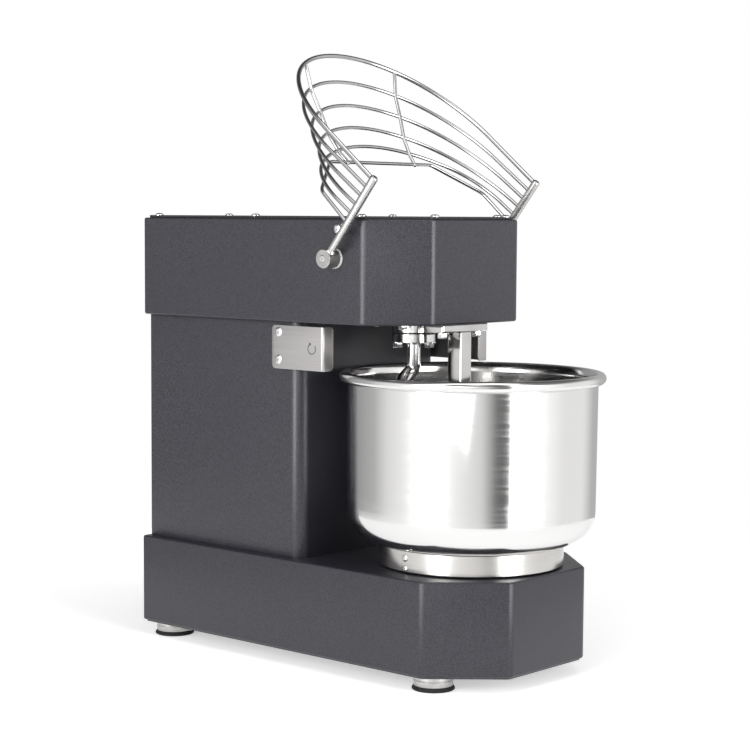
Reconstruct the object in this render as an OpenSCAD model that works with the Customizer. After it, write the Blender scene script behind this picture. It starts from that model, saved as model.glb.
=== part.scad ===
// Bench spiral dough mixer with a ten litre bowl. Millimetres, +Z up.
// The bowl and the head's front face -Y. The origin is on the ground, under the middle of the machine.
// Inside the modules Y is measured from the bowl's axis, and placed() moves a piece from there.

/* [Bowl] */
// Outer diameter of the bowl wall under the rim
bowl_d = 280; // [240:1:340]
// Height of the bowl, from its flat bottom to the top of the rim
bowl_h = 189; // [157:1:230]
// Thickness of the bowl wall
bowl_wall = 2; // [1.5:0.5:3]
// Radius of the rolled bead around the rim
bead_r = 6; // [4:0.5:8]
// Radius of the corner between wall and bottom
bowl_corner_r = 35; // [25:1:45]
// How far the wall narrows towards the bottom corner
bowl_taper = 1.5; // [0:0.5:4]
// Diameter of the band that carries the bowl
ring_d = 208; // [190:1:220]
// Height of the band that carries the bowl
ring_h = 24.5; // [18:0.5:32]

/* [Base] */
// Width of the base
base_w = 260; // [240:1:312]
// Height of the base casing
base_h = 103; // [95:1:124]
// Reach of the base in front of the bowl's axis
base_front = 110; // [105:1:132]
// Width of the base's front chamfers
base_chamfer_x = 64; // [50:1:70]
// Depth of the base's front chamfers
base_chamfer_y = 72; // [50:1:78]
// Height of the feet
foot_h = 18; // [14:1:26]
// Diameter of the foot sleeves
foot_d = 43; // [36:1:48]

/* [Column] */
// Width of the column
col_w = 236; // [220:1:250]
// Depth of the column
col_depth = 251; // [240:1:300]
// Gap between the bowl's rim and the column
bowl_back_gap = 3.5; // [3:0.5:12]
// Radius of the column's front corners
col_corner_r = 15; // [6:1:24]

/* [Head] */
// Width of the head
head_w = 256; // [246:1:270]
// Height of the head casing
head_h = 115; // [112:1:138]
// Reach of the head in front of the bowl's axis
head_front = 5; // [0:1:30]
// Size of the head's front chamfers
head_chamfer = 55; // [40:1:65]
// Gap between the bowl's rim and the head
head_gap = 53; // [50:1:64]
// Thickness of the casing sheet
sheet = 2; // [1.5:0.5:2.5]
// Outer radius of the bends in the casing sheet
bend_r = 11; // [6:1:16]

/* [Mixing tools] */
// Distance of the spiral's axis behind the bowl's axis, in a bowl of the inner radius tools_bowl_r
spiral_y = 86; // [80:1:88]
// Diameter of the spiral's rod
rod_d = 16; // [13:1:18]
// Radius of the spiral, at the middle of its rod
spiral_r = 36; // [30:1:38]
// Turns of the spiral
spiral_turns = 1.25; // [0.75:0.25:2]
// Diameter of the two flanges that join the spiral to its shaft
flange_d = 50; // [48:1:52]
// Side of the square breaker bar
bar_side = 19; // [16:1:20]
// Distance of the breaker bar's middle behind the bowl's axis, in a bowl of that inner radius
bar_y = 18.5; // [12:0.5:20]
// Gap between the mixing tools and the bowl's floor
floor_gap = 5; // [4:0.5:12]

/* [Wire guard] */
// Height of the guard's pivot under the head's top
pivot_drop = 43; // [38:1:50]
// Distance of the guard's pivot behind the bowl's axis
pivot_y = 90; // [84:1:100]
// Length of the guard's arms
arm_len = 108; // [100:1:116]
// Diameter of the guard's arms
arm_d = 9; // [8:0.5:10]
// Gap between the head's side and the middle of an arm
arm_gap = 13.6; // [13:0.1:18]
// Rise of the raised arms over the horizontal, in degrees
raised_angle = 51.5; // [45:0.5:60]
// Diameter of the outermost guard wire
rim_wire_d = 5; // [4:0.5:6]
// Diameter of the other guard wires
wire_d = 4; // [3:0.5:5]

/* [Hidden] */
$fn = 64;

// Clearances
running = 0.05;          // shaft in a bearing, on the radius
loose = 0.5;             // parts that pass each other
drive_gap = 0.6;         // sprocket tips or pulley face to the loop that wraps them
cut = 1;                 // how far a cut runs past a face
small_screw_r = 2.5;     // shanks of the cover screws
bolt_shank_r = 3;        // shanks of the bolts and the plate screws

// Heights
deck_z = foot_h + base_h;
deck_gap = 1.5;
ring_z = deck_z + deck_gap;
bowl_z = ring_z + ring_h;
floor_z = bowl_z + bowl_wall;
rim_z = bowl_z + bowl_h;
head_z = rim_z + head_gap;
head_top_z = head_z + head_h;
cover_t = 3;
pivot_z = head_top_z - pivot_drop;

// Depths, behind the bowl's axis
rim_r = bowl_d/2 + bead_r + 2.5;
col_front = rim_r + bowl_back_gap;
col_back = col_front + col_depth;
head_back = col_back + 1;
base_back = col_back + 3;
gland_out = 20;
back_reach = base_back + gland_out;
bowl_y = -(back_reach - rim_r)/2;

// The band's screws, in pairs one above the other
ring_t = 3;
ring_screw_heights = [ring_z + 4, ring_z + 15.5];

// Feet and the base's inward lip that they are bolted to
base_lip = 42;
foot_x = base_w/2 - 31;
foot_front_y = -base_front + 80;
foot_back_y = base_back - 25;
foot_pad_h = 5;

// Shafts and bearings
shaft_r = 15;
lay_r = 10;
bearing_r = 26;
bearing_h = 14;
lay_y = col_front + 43;
motor_y = lay_y + 105;
motor_r = 62;
motor_len = 205;
motor_plate_t = 6;
housing_h = 50;

// Drive levels, at the middle of each loop
bowl_chain_z = foot_h + 29;
spiral_chain_z = head_z + 63;
belt_z = head_z + 93;
sprocket_t = 10;
pulley_t = 16;
chain_t = 6;
belt_t = 3.6;
bowl_teeth = 45;
bowl_drive_teeth = 10;
spiral_teeth = 22;
spiral_drive_teeth = 12;
tooth_pitch = 12.7;
lay_pulley_r = 70;
motor_pulley_r = 25;

// Mixing tools. In a wider or narrower bowl both of them move with its back wall.
tools_bowl_r = 138;
tools_shift = bowl_d/2 - bowl_wall - tools_bowl_r;
spiral_axis_y = spiral_y + tools_shift;
bar_middle_y = bar_y + tools_shift;
flange_t = 10;
gasket_t = 1.5;
shaft_flange_z = head_z - 3;
tool_flange_z = shaft_flange_z - 2*flange_t - gasket_t;
rod_top_bend_z = tool_flange_z - 27;
rod_end_z = floor_z + floor_gap + rod_d/2;
spiral_start = 132;
flange_bolt_r = 18;
housing_bolt_r = 46;
housing_bolt_turn = 25;
bracket_t = 10;
bracket_w = 80;

// Side guard plates
plate_t = 2.5;
plate_top_z = rim_z + 48.5;
plate_gap = 3;
plate_x = col_w/2 + plate_gap + plate_t;
left_bend_y = col_front - 40;
right_bend_y = col_front - 75;
plate_back_y = col_front + 39;
plate_lip = 17;
plate_corner_r = 5;

// Wire guard
arm_x = head_w/2 + arm_gap;
boss_r = 10.5;
boss_in = head_w/2 + 2.5;
boss_out = arm_x + 6.4;
pin_r = 6;
bush_r = 9;
cam_r = 20;
stop_r = 4.7;
wire_pitch = 11.8;
// Depth of each wire's front from the arms: the outermost one ends above the bowl's rim
cage_depth = pivot_y + rim_r - 5;
wire_depth = [cage_depth, cage_depth - 24, cage_depth - 51, cage_depth - 75, cage_depth - 102];
// Each wire lies in a plane that leans this many degrees from square to the arms
wire_lean = [0.6, -1.5, -2.3, -3.3, -1.8, 3];
// Radius of each wire's corners. The front arc is tangent to both of them.
wire_corner_r = [arm_x, arm_x, arm_x, arm_x, 86];
last_kink = [arm_x - 1.6, 53];
last_corner = [head_w/2 - head_chamfer + 14, pivot_y + head_front + 8];
rib_top_x = 57;
rib_rim_x = 76;

// Controls
panel_t = 2;
panel_y = col_front + 105;
panel_z = deck_z + 134;
panel_w = 120;
panel_h = 150;
panel_x = col_w/2 + panel_t;
stem_r = 8;
start_z = panel_z + 40;
stop_z = panel_z - 48;
button_y = panel_y - 28;
knob_y = panel_y + 25;
knob_z = panel_z - 4;
gland_x = -60;
gland_z = foot_h + 40;
gland_bore_r = 4.5;

// ---------------------------------------------------------------- outlines

function unit(v) = v/norm(v);

// Points that round the corner b between a and c
function corner(a, b, c, r, n = 6) = r <= 0 ? [b] :
    let (u = unit(a - b), v = unit(c - b), turn = acos(u*v),
         middle = b + unit(u + v)*r/sin(turn/2), reach = r/tan(turn/2),
         p = b + u*reach - middle, q = b + v*reach - middle,
         first = atan2(p.y, p.x), sweep = (atan2(q.y, q.x) - first + 540)%360 - 180)
    [for (i = [0:n]) middle + r*[cos(first + sweep*i/n), sin(first + sweep*i/n)]];

function rounded(pts, radii) = let (n = len(pts))
    [for (i = [0:n - 1]) each corner(pts[(i + n - 1)%n], pts[i], pts[(i + 1)%n], radii[i])];

// A casing's outline with two front chamfers, drawn the thickness i inside its outer face
function casing(w, front, back, cx, cy, r, i = 0) =
    let (slope = norm([cx, cy]), x = w/2 - i, y = front + i,
         chamfer_y = front + cy + i*(slope - cy)/cx, chamfer_x = w/2 - cx - i*(slope - cx)/cy,
         bend = max(r - i, 0.5))
    rounded([[x, back - i], [-x, back - i], [-x, chamfer_y], [-chamfer_x, y], [chamfer_x, y], [x, chamfer_y]],
            [2, 2, bend, bend, bend, bend]);

function base_outline(i = 0) =
    casing(base_w, -base_front, base_back, base_chamfer_x, base_chamfer_y, bend_r, i);
function head_outline(i = 0) = casing(head_w, -head_front, head_back, head_chamfer, head_chamfer, bend_r, i);
function column_outline(i = 0) = let (x = col_w/2 - i, r = col_corner_r - i)
    rounded([[x, col_back - i], [-x, col_back - i], [-x, col_front + i], [x, col_front + i]], [2, 2, r, r]);

// The loop of a belt or chain around a front wheel at ya and a back wheel at yb
function loop(ya, ra, yb, rb, n = 28) = let (f = acos((ra - rb)/(yb - ya))) concat(
    [for (i = [0:n]) let (a = f + (360 - 2*f)*i/n) [ra*sin(a), ya + ra*cos(a)]],
    [for (i = [0:n]) let (a = -f + 2*f*i/n) [rb*sin(a), yb + rb*cos(a)]]);

// Profile of the inside or the outside of the bowl, from its middle up to the bead
function bowl_profile(i) = let (low_r = bowl_d/2 - bowl_taper - i, r = bowl_corner_r - i, n = 10) concat(
    [[0, i]],
    [for (k = [0:n]) let (a = -90 + 90*k/n) [low_r - r + r*cos(a), bowl_corner_r + r*sin(a)]],
    [[bowl_d/2 - i, bowl_h - bead_r]]);

// ---------------------------------------------------------------- shared shapes

module placed() translate([0, bowl_y, 0]) children();
module at(x, y, z) translate([x, y, z]) children();
module both_sides() for (s = [-1, 1]) scale_x(s) children();
module scale_x(s) { if (s < 0) mirror([1, 0, 0]) children(); else children(); }
module plate(pts, z, h) at(0, 0, z) linear_extrude(h) polygon(pts);

module tube(r, bore, z, h) at(0, 0, z) difference() {
    cylinder(r = r, h = h);
    at(0, 0, -cut) cylinder(r = bore, h = h + 2*cut);
}

// A low domed screw head on z = 0, with its shank below it
module dome_screw(r, h, shank_r, shank) {
    n = 6;
    dome = (r*r + h*h)/(2*h);
    rotate_extrude($fn = 32) polygon(concat([[0, -shank], [shank_r, -shank], [shank_r, 0], [r, 0]],
        [for (i = [1:n]) let (a = asin(r/dome)*(1 - i/n)) [dome*sin(a), h - dome + dome*cos(a)]]));
}

// A hexagon head below z = 0, with its shank above it
module hex_bolt(r, h, shank_r, shank) {
    at(0, 0, -h) cylinder(r = r, h = h, $fn = 6);
    cylinder(r = shank_r, h = shank, $fn = 32);
}

// A toothed wheel, its teeth cut as plain trapezoids
module sprocket(teeth, bore, z) {
    tip = tooth_pitch/(2*sin(180/teeth)) + 2;
    root = tip - 5;
    at(0, 0, z - sprocket_t/2) difference() {
        linear_extrude(sprocket_t) polygon([for (i = [0:teeth - 1]) each
            [for (k = [[0.15, root], [0.38, tip], [0.62, tip], [0.85, root]])
                k[1]*[cos(360*(i + k[0])/teeth), sin(360*(i + k[0])/teeth)]]]);
        at(0, 0, -cut) cylinder(r = bore, h = sprocket_t + 2*cut);
    }
}
function tip_r(teeth) = tooth_pitch/(2*sin(180/teeth)) + 2;

module chain_loop(ya, teeth_a, yb, teeth_b, z) at(0, 0, z - sprocket_t/2 + 1) linear_extrude(sprocket_t - 2)
    difference() {
        polygon(loop(ya, tip_r(teeth_a) + drive_gap + chain_t, yb, tip_r(teeth_b) + drive_gap + chain_t));
        polygon(loop(ya, tip_r(teeth_a) + drive_gap, yb, tip_r(teeth_b) + drive_gap));
    }

module bearing(z) tube(bearing_r, shaft_r + running, z, bearing_h);

// ---------------------------------------------------------------- base

module base_casing() color([0.24, 0.24, 0.27]) placed() difference() {
    plate(base_outline(), foot_h, base_h);
    plate(base_outline(sheet), foot_h + sheet, base_h - 2*sheet);
    plate(base_outline(base_lip), foot_h - cut, sheet + 2*cut);
    at(0, 0, deck_z - sheet - cut) cylinder(r = shaft_r + 5, h = sheet + 2*cut);
    at(0, lay_y, deck_z - sheet - cut) cylinder(r = lay_r + 12, h = sheet + 2*cut);
    at(gland_x, base_back - sheet - cut, gland_z) rotate([-90, 0, 0]) cylinder(r = 10, h = sheet + 2*cut);
    for (x = [-foot_x, foot_x], y = [foot_front_y, foot_back_y])
        at(x, y, foot_h - cut) cylinder(r = 5, h = sheet + 2*cut);
    for (p = bottom_screw_places()) at(p.x, p.y, foot_h - cut) cylinder(r = small_screw_r, h = sheet + 2*cut);
}

function bottom_screw_places() = [for (s = [-1, 1], y = [30, 130, 230, 330]) [s*(base_w/2 - 11), y]];

module base_bottom_plate() color([0.2, 0.2, 0.22]) placed() difference() {
    plate(base_outline(4), foot_h - sheet, sheet);
    for (x = [-foot_x, foot_x], y = [foot_front_y, foot_back_y])
        at(x, y, foot_h - sheet - cut) cylinder(r = foot_d/2 + loose, h = sheet + 2*cut);
    for (p = bottom_screw_places()) at(p.x, p.y, foot_h - sheet - cut)
        cylinder(r = small_screw_r, h = sheet + 2*cut);
}

module bottom_plate_screws() color("silver") placed()
    for (p = bottom_screw_places()) at(p.x, p.y, foot_h - sheet) mirror([0, 0, 1])
        dome_screw(4.5, 2.4, small_screw_r, 9);

module foot_sleeves() color([0.75, 0.75, 0.77]) placed()
    for (x = [-foot_x, foot_x], y = [foot_front_y, foot_back_y]) at(x, y, 0) {
        tube(foot_d/2, foot_d/2 - 2, foot_pad_h, foot_h - foot_pad_h - sheet);
        at(0, 0, foot_h - sheet) cylinder(r = foot_d/2, h = sheet);
        at(0, 0, foot_h) cylinder(r = 5, h = 14);
        at(0, 0, foot_h + sheet) cylinder(r = 9, h = 7, $fn = 6);
    }

module foot_pads() color([0.08, 0.08, 0.08]) placed()
    for (x = [-foot_x, foot_x], y = [foot_front_y, foot_back_y]) at(x, y, 0) {
        cylinder(r = foot_d/2 + 2, h = foot_pad_h);
        at(0, 0, foot_pad_h) cylinder(r = foot_d/2 - 2, h = foot_h - foot_pad_h - sheet);
    }

// ---------------------------------------------------------------- column

module column_casing() color([0.24, 0.24, 0.27]) placed() difference() {
    plate(column_outline(), deck_z, head_z - deck_z);
    plate(column_outline(sheet), deck_z - cut, head_z - deck_z + 2*cut);
    at(col_w/2 - sheet - cut, panel_y - panel_w/2 + 8, panel_z - panel_h/2 + 8)
        cube([sheet + 2*cut, panel_w - 16, panel_h - 16]);
    at(-col_w/2 + 28, col_back - sheet - cut, deck_z + 28)
        cube([col_w - 56, sheet + 2*cut, head_z - deck_z - 56]);
    for (p = back_screw_places()) at(p.x, col_back - sheet - cut, p.y)
        rotate([-90, 0, 0]) cylinder(r = small_screw_r, h = sheet + 2*cut);
    for (z = side_screw_heights()) at(-col_w/2 - cut, plate_back_y - 11, z)
        rotate([0, 90, 0]) cylinder(r = bolt_shank_r, h = col_w + 2*cut);
}

function back_screw_places() = [for (s = [-1, 1], k = [0, 0.5, 1])
    [s*(col_w/2 - 19), deck_z + 19 + k*(head_z - deck_z - 38)]];

module back_panel() color([0.24, 0.24, 0.27]) placed() difference() {
    at(-col_w/2 + 10, col_back, deck_z + 10) cube([col_w - 20, sheet, head_z - deck_z - 20]);
    for (p = back_screw_places()) at(p.x, col_back - cut, p.y)
        rotate([-90, 0, 0]) cylinder(r = small_screw_r, h = sheet + 2*cut);
    for (i = [0:6], s = [-1, 1]) at(s*36 - 26, col_back - cut, deck_z + 60 + i*12)
        cube([52, sheet + 2*cut, 4]);
}

module back_panel_screws() color("silver") placed()
    for (p = back_screw_places()) at(p.x, col_back + sheet, p.y) rotate([-90, 0, 0])
        dome_screw(4.5, 2.4, small_screw_r, 7);

module control_panel() color([0.7, 0.7, 0.72]) placed() {
    difference() {
        at(col_w/2, panel_y - panel_w/2, panel_z - panel_h/2) cube([panel_t, panel_w, panel_h]);
        for (p = [[button_y, start_z], [button_y, stop_z], [knob_y, knob_z]])
            at(col_w/2 - cut, p.x, p.y) rotate([0, 90, 0]) cylinder(r = stem_r + 0.1, h = panel_t + 2*cut);
    }
    for (z = [start_z, stop_z]) at(panel_x, button_y, z) rotate([0, 90, 0]) tube(15, 11 + loose, 0, 4);
}

module cable_gland() color([0.1, 0.1, 0.1]) placed() at(gland_x, base_back, gland_z) rotate([-90, 0, 0])
    difference() {
        union() {
            at(0, 0, -sheet - 6) cylinder(r = 13, h = 6, $fn = 6);
            at(0, 0, -sheet) cylinder(r = 10, h = sheet);
            cylinder(r = 14, h = 6, $fn = 6);
            at(0, 0, 6) cylinder(r1 = 12, r2 = 9, h = gland_out - 6);
        }
        at(0, 0, -sheet - 6 - cut) cylinder(r = gland_bore_r, h = gland_out + sheet + 6 + 2*cut);
    }

// ---------------------------------------------------------------- head

module head_casing() color([0.24, 0.24, 0.27]) placed() difference() {
    plate(head_outline(), head_z, head_h);
    plate(head_outline(sheet), head_z - cut, head_h - sheet + cut);
    plate(head_outline(sheet + 22), head_top_z - sheet - cut, sheet + 2*cut);
    at(-head_w/2 - cut, pivot_y, pivot_z) rotate([0, 90, 0]) cylinder(r = bush_r, h = head_w + 2*cut);
    at(-head_w/2 - cut, stop_place().x, stop_place().y) rotate([0, 90, 0])
        cylinder(r = bolt_shank_r, h = head_w + 2*cut);
    for (p = cover_screw_places()) at(p.x, p.y, head_top_z - sheet - cut)
        cylinder(r = small_screw_r, h = sheet + 2*cut);
}

function cover_screw_places() = concat(
    [for (s = [-1, 1], y = [60, 60 + (head_back - 79)/2]) [s*(head_w/2 - 10), y]],
    [[10 - head_w/2, head_back - 19], [0, head_back - 16]],
    [[-62, 9 - head_front], [62, 9 - head_front]]);

module head_bottom_plate() color([0.2, 0.2, 0.22]) placed() difference() {
    plate(head_outline(sheet), head_z, sheet);
    at(0, spiral_axis_y, head_z - cut) cylinder(r = shaft_r + 5, h = sheet + 2*cut);
    at(0, lay_y, head_z - cut) cylinder(r = lay_r + 4, h = sheet + 2*cut);
    at(0, motor_y, head_z - cut) cylinder(r = 16, h = sheet + 2*cut);
    for (p = housing_bolt_places()) at(p.x, spiral_axis_y + p.y, head_z - cut)
        cylinder(r = bolt_shank_r, h = sheet + 2*cut);
    for (s = [-1, 1]) at(s*30, bar_middle_y, head_z - cut) cylinder(r = bolt_shank_r, h = sheet + 2*cut);
}

module head_top_cover() color([0.16, 0.16, 0.18]) placed() difference() {
    plate(head_outline(5.5), head_top_z, cover_t);
    for (p = cover_screw_places()) at(p.x, p.y, head_top_z - cut)
        cylinder(r = small_screw_r, h = cover_t + 2*cut);
}

module top_cover_screws() color("silver") placed()
    for (p = cover_screw_places()) at(p.x, p.y, head_top_z + cover_t) dome_screw(5, 2.8, small_screw_r, 9);

// ---------------------------------------------------------------- drive

module motor_housing() color([0.35, 0.36, 0.38]) placed()
    at(0, motor_y, motor_top_z() - motor_len) difference() {
    union() {
        cylinder(r = motor_r - 6, h = motor_len);
        for (a = [0:20:340]) rotate(a) at(motor_r - 8, -1.5, 14) cube([8, 3, motor_len - 34]);
        at(0, 0, motor_len - 12) cylinder(r = motor_r, h = 12);
    }
    at(0, 0, 30) cylinder(r = lay_r + running, h = motor_len);
}
function motor_top_z() = head_z - 26;

module motor_mount() color([0.2, 0.2, 0.22]) placed() difference() {
    at(-col_w/2 + sheet, motor_y - 74, motor_top_z()) cube([col_w - 2*sheet, 148, motor_plate_t]);
    at(0, motor_y, motor_top_z() - cut) cylinder(r = 20, h = motor_plate_t + 2*cut);
    for (a = [45:90:315]) at(50*cos(a), motor_y + 50*sin(a), motor_top_z() - cut)
        cylinder(r = bolt_shank_r, h = motor_plate_t + 2*cut);
}

module motor_bolts() color("silver") placed()
    for (a = [45:90:315]) at(50*cos(a), motor_y + 50*sin(a), motor_top_z() + motor_plate_t)
        mirror([0, 0, 1]) hex_bolt(5.5, 4, bolt_shank_r, motor_plate_t);

module motor_shaft() color([0.7, 0.7, 0.72]) placed() at(0, motor_y, motor_top_z() - motor_len + 32)
    cylinder(r = lay_r, h = belt_z + pulley_t/2 + 3 - (motor_top_z() - motor_len + 32));

module motor_pulley() color([0.3, 0.3, 0.32]) placed()
    at(0, motor_y, 0) tube(motor_pulley_r, lay_r, belt_z - pulley_t/2, pulley_t);

module lay_bearing_blocks() color([0.3, 0.31, 0.33]) placed() at(0, lay_y, 0) {
    tube(26, lay_r + running, foot_h, 16);
    tube(26, lay_r + running, head_z + sheet, 18);
}

module lay_shaft() color([0.7, 0.7, 0.72]) placed() at(0, lay_y, foot_h + 2)
    cylinder(r = lay_r, h = belt_z + pulley_t/2 + 5 - foot_h - 2);

module lay_pulley() color([0.3, 0.3, 0.32]) placed() at(0, lay_y, belt_z - pulley_t/2) difference() {
    cylinder(r = lay_pulley_r, h = pulley_t);
    at(0, 0, -cut) cylinder(r = lay_r, h = pulley_t + 2*cut);
    for (a = [0:72:288]) rotate(a) at(40, 0, -cut) cylinder(r = 13, h = pulley_t + 2*cut);
}

module lay_spiral_sprocket() color([0.4, 0.38, 0.35]) placed()
    at(0, lay_y, 0) sprocket(spiral_drive_teeth, lay_r, spiral_chain_z);

module lay_bowl_sprocket() color([0.4, 0.38, 0.35]) placed()
    at(0, lay_y, 0) sprocket(bowl_drive_teeth, lay_r, bowl_chain_z);

module drive_belt() color([0.1, 0.1, 0.1]) placed() at(0, 0, belt_z - pulley_t/2 + 1)
    linear_extrude(pulley_t - 2) difference() {
        polygon(loop(lay_y, lay_pulley_r + drive_gap + belt_t, motor_y, motor_pulley_r + drive_gap + belt_t));
        polygon(loop(lay_y, lay_pulley_r + drive_gap, motor_y, motor_pulley_r + drive_gap));
    }

module spiral_chain() color([0.45, 0.42, 0.38]) placed()
    chain_loop(spiral_axis_y, spiral_teeth, lay_y, spiral_drive_teeth, spiral_chain_z);

module bowl_chain() color([0.45, 0.42, 0.38]) placed()
    chain_loop(0, bowl_teeth, lay_y, bowl_drive_teeth, bowl_chain_z);

function housing_bolt_places() = [for (k = [0:3]) let (a = housing_bolt_turn + 90*k)
    housing_bolt_r*[cos(a), sin(a)]];

module spiral_bearing_housing() color([0.3, 0.31, 0.33]) placed()
    at(0, spiral_axis_y, head_z + sheet) difference() {
    union() {
        cylinder(r = housing_bolt_r + 10, h = 9);
        cylinder(r = 37, h = housing_h);
    }
    at(0, 0, -cut) cylinder(r = bearing_r, h = housing_h + 2*cut);
    for (p = housing_bolt_places()) at(p.x, p.y, -cut) cylinder(r = bolt_shank_r, h = 9 + cut);
}

module spiral_bearings() color("silver") placed() at(0, spiral_axis_y, head_z + sheet) {
    bearing(1);
    bearing(housing_h - 1 - bearing_h);
}

module spiral_housing_bolts() color("silver") placed() for (p = housing_bolt_places())
    at(p.x, spiral_axis_y + p.y, head_z) hex_bolt(5.6, 8, bolt_shank_r, 10);

module bowl_bearing_housing() color([0.3, 0.31, 0.33]) placed()
    at(0, 0, deck_z - sheet - housing_h) difference() {
    union() {
        at(0, 0, housing_h - 9) cylinder(r = 60, h = 9);
        cylinder(r = 37, h = housing_h);
    }
    at(0, 0, -cut) cylinder(r = bearing_r, h = housing_h + 2*cut);
}

module bowl_bearings() color("silver") placed() at(0, 0, deck_z - sheet - housing_h) {
    bearing(1);
    bearing(housing_h - 1 - bearing_h);
}

// ---------------------------------------------------------------- bowl, all of it turns

module bowl() color([0.82, 0.82, 0.84]) placed() at(0, 0, bowl_z) rotate_extrude($fn = 96) difference() {
    union() {
        polygon(concat(bowl_profile(0), [[0, bowl_h - bead_r]]));
        at_2d(rim_r - bead_r, bowl_h - bead_r) circle(r = bead_r, $fn = 32);
    }
    polygon(concat(bowl_profile(bowl_wall), [[bowl_d/2 - bowl_wall, bowl_h + cut], [0, bowl_h + cut]]));
}
module at_2d(x, y) translate([x, y]) children();

// Puts a shape at each of the band's screws, with +Z pointing outwards
module at_ring_screws() for (a = [176, 356], z = ring_screw_heights)
    rotate(a) at(ring_d/2, 0, z) rotate([0, 90, 0]) children();

module bowl_ring() color([0.78, 0.78, 0.8]) placed() difference() {
    tube(ring_d/2, ring_d/2 - ring_t, ring_z, ring_h);
    at_ring_screws() at(0, 0, -ring_t - cut) cylinder(r = 2, h = ring_t + 2*cut);
}

module ring_screws() color("silver") placed() at_ring_screws() dome_screw(3.8, 2, 2, ring_t + 1.5);

module bowl_hub() color([0.5, 0.5, 0.52]) placed() {
    difference() {
        at(0, 0, bowl_z - 6) cylinder(r = ring_d/2 - ring_t, h = 6);
        at_ring_screws() at(0, 0, -ring_t - 3) cylinder(r = 2 + loose, h = 4);
        for (a = [0:60:300]) rotate(a) at(60, 0, bowl_z - 6 - cut) cylinder(r = 14, h = 6 + 2*cut);
    }
    at(0, 0, bowl_chain_z - sprocket_t/2 - 3)
        cylinder(r = shaft_r, h = bowl_z - 6 - bowl_chain_z + sprocket_t/2 + 3);
}

module bowl_sprocket() color([0.4, 0.38, 0.35]) placed() difference() {
    sprocket(bowl_teeth, shaft_r, bowl_chain_z);
    for (a = [0:60:300]) rotate(a) at(50, 0, bowl_chain_z - sprocket_t) cylinder(r = 16, h = 2*sprocket_t);
}

// ---------------------------------------------------------------- spiral and breaker bar

// A round plate on the spiral's axis, drilled for the two bolts that join the spiral to its shaft
module drilled_flange(r, z, h) at(0, 0, z) difference() {
    cylinder(r = r, h = h);
    for (a = [spiral_start, spiral_start + 180])
        at(flange_bolt_r*cos(a), flange_bolt_r*sin(a), -cut) cylinder(r = 4, h = h + 2*cut);
}

module spiral_shaft() color([0.72, 0.72, 0.74]) placed() at(0, spiral_axis_y, 0) {
    drilled_flange(flange_d/2, shaft_flange_z - flange_t, flange_t);
    at(0, 0, shaft_flange_z) cylinder(r = shaft_r, h = spiral_chain_z + sprocket_t/2 + 3 - shaft_flange_z);
}

module spiral_sprocket() color([0.4, 0.38, 0.35]) placed()
    at(0, spiral_axis_y, 0) sprocket(spiral_teeth, shaft_r, spiral_chain_z);

module flange_gasket() color([0.05, 0.05, 0.05]) placed()
    at(0, spiral_axis_y, 0) drilled_flange(flange_d/2 - 2, shaft_flange_z - flange_t - gasket_t, gasket_t);

module flange_bolts() color("silver") placed() for (a = [spiral_start, spiral_start + 180])
    at(flange_bolt_r*cos(a), spiral_axis_y + flange_bolt_r*sin(a), tool_flange_z)
        hex_bolt(6, 6.5, 4, flange_t*2 + gasket_t);

// The rod's middle line, as a height, an angle and a distance from the spiral's axis, for s from 0 to 1
function rod_blend(t) = t <= 0 ? 0 : t >= 1 ? 1 : t*t*(3 - 2*t);
function rod_point(s) = let (turn = max(0, s - 0.1)/0.9, a = spiral_start + 360*spiral_turns*turn,
    r = spiral_r*rod_blend(turn/0.2) - 0.24*spiral_r*rod_blend((turn - 0.65)/0.35),
    z = s < 0.1 ? rod_joint_z() - (rod_joint_z() - rod_top_bend_z)*s/0.1
        : rod_top_bend_z - (rod_top_bend_z - rod_end_z)*turn)
    [r*cos(a), r*sin(a), z];
function rod_joint_z() = tool_flange_z + 1;
function rod_ring(s, sides) = let (e = 0.002,
    along = unit(rod_point(min(1, s + e)) - rod_point(max(0, s - e))),
    a = spiral_start + 360*spiral_turns*max(0, s - 0.1)/0.9, out = [cos(a), sin(a), 0],
    n = unit(out - along*(out*along)), b = cross(along, n))
    [for (k = [0:sides - 1]) rod_point(s) + rod_d/2*(n*cos(360*k/sides) + b*sin(360*k/sides))];

module rod(rings = 72, sides = 14) polyhedron(
    points = [for (i = [0:rings]) each rod_ring(i/rings, sides)],
    faces = concat([[for (k = [0:sides - 1]) k]],
        [for (i = [0:rings - 1], k = [0:sides - 1], f = [0, 1])
            let (a = i*sides + k, b = i*sides + (k + 1)%sides)
            f == 0 ? [a, b + sides, b] : [a, a + sides, b + sides]],
        [[for (k = [0:sides - 1]) rings*sides + sides - 1 - k]]));

module spiral_tool() color([0.8, 0.8, 0.82]) placed() at(0, spiral_axis_y, 0) {
    drilled_flange(flange_d/2, tool_flange_z, flange_t);
    rod();
}

module breaker_bar_bracket() color([0.75, 0.75, 0.77]) placed() difference() {
    at(-bracket_w/2, bar_middle_y - 9, head_z - bracket_t) cube([bracket_w, 26, bracket_t]);
    for (s = [-1, 1]) at(s*30, bar_middle_y, head_z - bracket_t - cut)
        cylinder(r = bolt_shank_r, h = bracket_t + 2*cut);
}

module breaker_bar() color([0.8, 0.8, 0.82]) placed()
    at(-bar_side/2, bar_middle_y - bar_side/2, floor_z + floor_gap + 6)
        cube([bar_side, bar_side, head_z - bracket_t - floor_z - floor_gap - 6]);

module bracket_bolts() color("silver") placed()
    for (s = [-1, 1]) at(s*30, bar_middle_y, head_z - bracket_t)
        hex_bolt(5.6, 7, bolt_shank_r, bracket_t + sheet + 4);

// ---------------------------------------------------------------- side guard plates

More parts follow.
